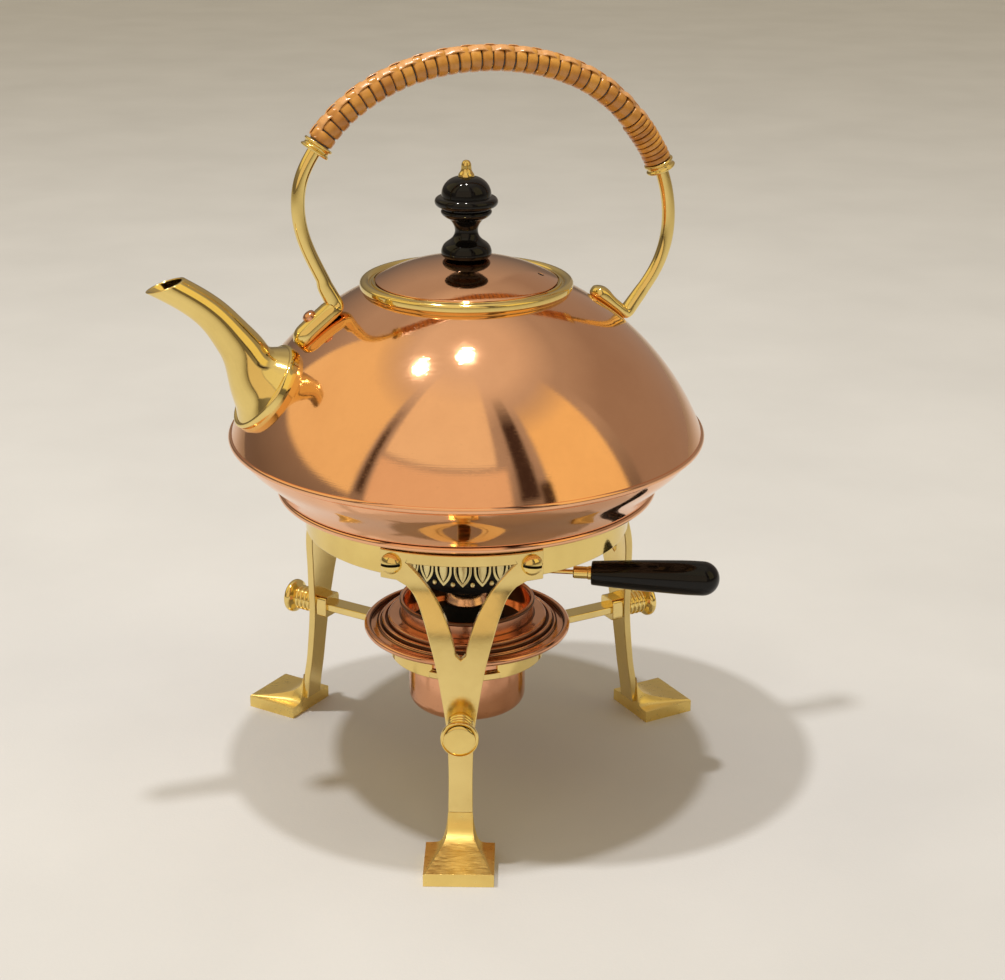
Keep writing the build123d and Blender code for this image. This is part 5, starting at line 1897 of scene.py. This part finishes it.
# ---------------------------------------------------------------- studio
@dataclass
class Studio:
    """Pale floor, soft lamps and the camera.

    Attributes:
        floor_colour: Colour of the floor.
        floor_r: Radius of the floor in metres.
        camera_at: Place of the camera in metres.
        camera_turn: Turn of the camera in degrees: pitch, yaw and roll.
        lens: Focal length in millimetres on a 36 mm wide sensor.
        room_level: Strength of the room's light.
        lamps: (place, size, strength in watts, colour) of each lamp.
        panels: Soft light or dark walls of the room: (middle and half width round from the front, in
            degrees), (low and high edge, in degrees above the floor) and colour.
        sharp: Half the width of a panel's blurred edges, in degrees.
        soft: The same for the upper edge of a tall panel.
        tall: Height from which a panel is tall.
        low_tone: Colour of the room near the floor.
        side_tone: Colour of the room's walls.
        top_tone: Colour of the room overhead.
    """

    floor_colour: Colour = (0.585, 0.60, 0.635)
    floor_r: float = 8.0
    camera_at: tuple = (0.0279, -0.6469, 0.3486)
    camera_turn: tuple = (69.73, 0.71, 0.30)
    lens: float = 68.2
    room_level: float = 0.75
    lamps: tuple = (
        ((-0.50, -0.13, 1.78), 0.09, 15.0, (1.0, 0.96, 0.89)),
        ((0.0, -0.05, 1.80), 0.09, 11.5, (1.0, 0.96, 0.90)),
    )
    panels: tuple = (
        ((-92.0, 36.0), (20.0, 62.0), (1.20, 0.98, 0.52)),
        ((-12.0, 36.0), (2.0, 38.4), (1.10, 0.86, 0.58)),
        ((-14.0, 33.0), (40.2, 74.0), (1.18, 1.02, 0.70)),
        ((-52.0, 2.0), (22.0, 52.0), (0.10, 0.07, 0.05)),
        ((64.0, 20.0), (10.0, 56.0), (1.28, 1.02, 0.48)),
        ((33.0, 5.0), (24.0, 62.0), (0.07, 0.045, 0.035)),
        ((42.0, 3.0), (8.0, 30.0), (0.09, 0.06, 0.04)),
        ((130.0, 38.0), (-5.0, 45.0), (0.46, 0.38, 0.31)),
    )
    sharp: float = 1.2
    soft: float = 7.0
    tall: float = 40.0
    low_tone: Colour = (0.24, 0.20, 0.16)
    side_tone: Colour = (0.60, 0.52, 0.43)
    top_tone: Colour = (1.0, 0.88, 0.70)

    def _floor(self) -> None:
        """A wide disc with a faint mottle."""
        n = 64
        turns = (2 * math.pi * k / n for k in range(n))
        points = [(self.floor_r * math.cos(t), self.floor_r * math.sin(t), 0.0) for t in turns]
        data = bpy.data.meshes.new("floor")
        data.from_pydata(points, [], [tuple(range(n))])
        floor = bpy.data.objects.new("floor", data)
        bpy.context.scene.collection.objects.link(floor)
        g = Skin("pale floor")
        cloud = g.noise(g.place(), 9.0, 4.0)
        weave = g.noise(g.place(), 900.0, 2.0)
        darker = tuple(c * 0.93 for c in self.floor_colour)
        g.set(Base_Color=g.blend(g.ramp(cloud, 0.3, 0.7), self.floor_colour, darker), Roughness=0.85,
              Normal=g.bump(weave, 0.15, 0.0004))
        data.materials.append(g.material)

    def _world(self) -> None:
        """A dim room with soft panels for the metal to reflect."""
        world = bpy.data.worlds.new("soft room")
        bpy.context.scene.world = world
        world.use_nodes = True
        g = Graph(world.node_tree)
        split = g.node("ShaderNodeSeparateXYZ")
        g.join(g.node("ShaderNodeTexCoord").outputs["Generated"], split.inputs[0])
        x, y, z = split.outputs
        degree = math.degrees(1.0)
        behind = g.math("MULTIPLY", y, -1.0)
        round_from_front = g.math("MULTIPLY", g.math("ARCTAN2", x, behind), degree)
        above = g.math("MULTIPLY", g.math("ARCSINE", z), degree)
        colour = g.blend(g.ramp(above, 5.0, 40.0), self.low_tone, self.side_tone)
        colour = g.blend(g.ramp(above, 56.0, 72.0), colour, self.top_tone)
        for (middle, half), (low, high), tone in self.panels:
            away = g.math("ABSOLUTE", g.math("SUBTRACT", round_from_front, middle))
            share = g.ramp(away, half - self.sharp, half + self.sharp, 1.0, 0.0)
            share = g.math("MULTIPLY", share, g.ramp(above, low - self.sharp, low + self.sharp))
            fade = self.sharp if high < self.tall else self.soft
            share = g.math("MULTIPLY", share, g.ramp(above, high - fade, high + fade, 1.0, 0.0))
            colour = g.blend(share, colour, tone)
        lit = g.node("ShaderNodeBackground")
        g.join(colour, lit.inputs[0])
        lit.inputs[1].default_value = self.room_level
        g.join(lit.outputs[0], g.node("ShaderNodeOutputWorld").inputs[0])

    def _lamps(self) -> None:
        """Square lamps overhead, aimed at the kettle."""
        target = AXIS + Vector((0, 0, 0.12))
        for i, (place, size, power, colour) in enumerate(self.lamps):
            data = bpy.data.lights.new(f"lamp {i}", "AREA")
            data.shape = "DISK"
            data.size = size
            data.energy = power
            data.color = colour
            lamp = bpy.data.objects.new(f"lamp {i}", data)
            lamp.location = place
            lamp.rotation_euler = (target - Vector(place)).to_track_quat("-Z", "Y").to_euler()
            bpy.context.scene.collection.objects.link(lamp)

    def _camera(self) -> None:
        """The camera at its place, with a slight roll."""
        data = bpy.data.cameras.new("camera")
        data.lens = self.lens
        data.sensor_width = 36.0
        data.clip_start = 0.01
        camera = bpy.data.objects.new("camera", data)
        bpy.context.scene.collection.objects.link(camera)
        pitch, yaw, roll = (math.radians(a) for a in self.camera_turn)
        turn = Matrix.Rotation(yaw, 4, "Z") @ Matrix.Rotation(pitch, 4, "X") @ Matrix.Rotation(roll, 4, "Z")
        camera.matrix_world = Matrix.Translation(self.camera_at) @ turn
        bpy.context.scene.camera = camera

    def build(self) -> None:
        """Makes the floor, world, lamps and camera."""
        bpy.context.scene.view_settings.view_transform = "Standard"
        self._floor()
        self._world()
        self._lamps()
        self._camera()


def main() -> None:
    """Builds every sub-assembly, then the studio round it."""
    logging.basicConfig(level=logging.INFO, format="%(name)s: %(message)s")
    finishes = FinishSet.build()
    repeater = Repeater()
    shell = KettleBody(finishes, repeater)
    parts = [shell, Spout(finishes, repeater, shell), BailHandle(finishes, repeater), Lid(finishes, repeater),
             Stand(finishes, repeater), Holder(finishes, repeater), Burner(finishes, repeater),
             Regulator(finishes, repeater)]
    for part in parts:
        part.build()
    Studio().build()


if __name__ == "__main__":
    main()
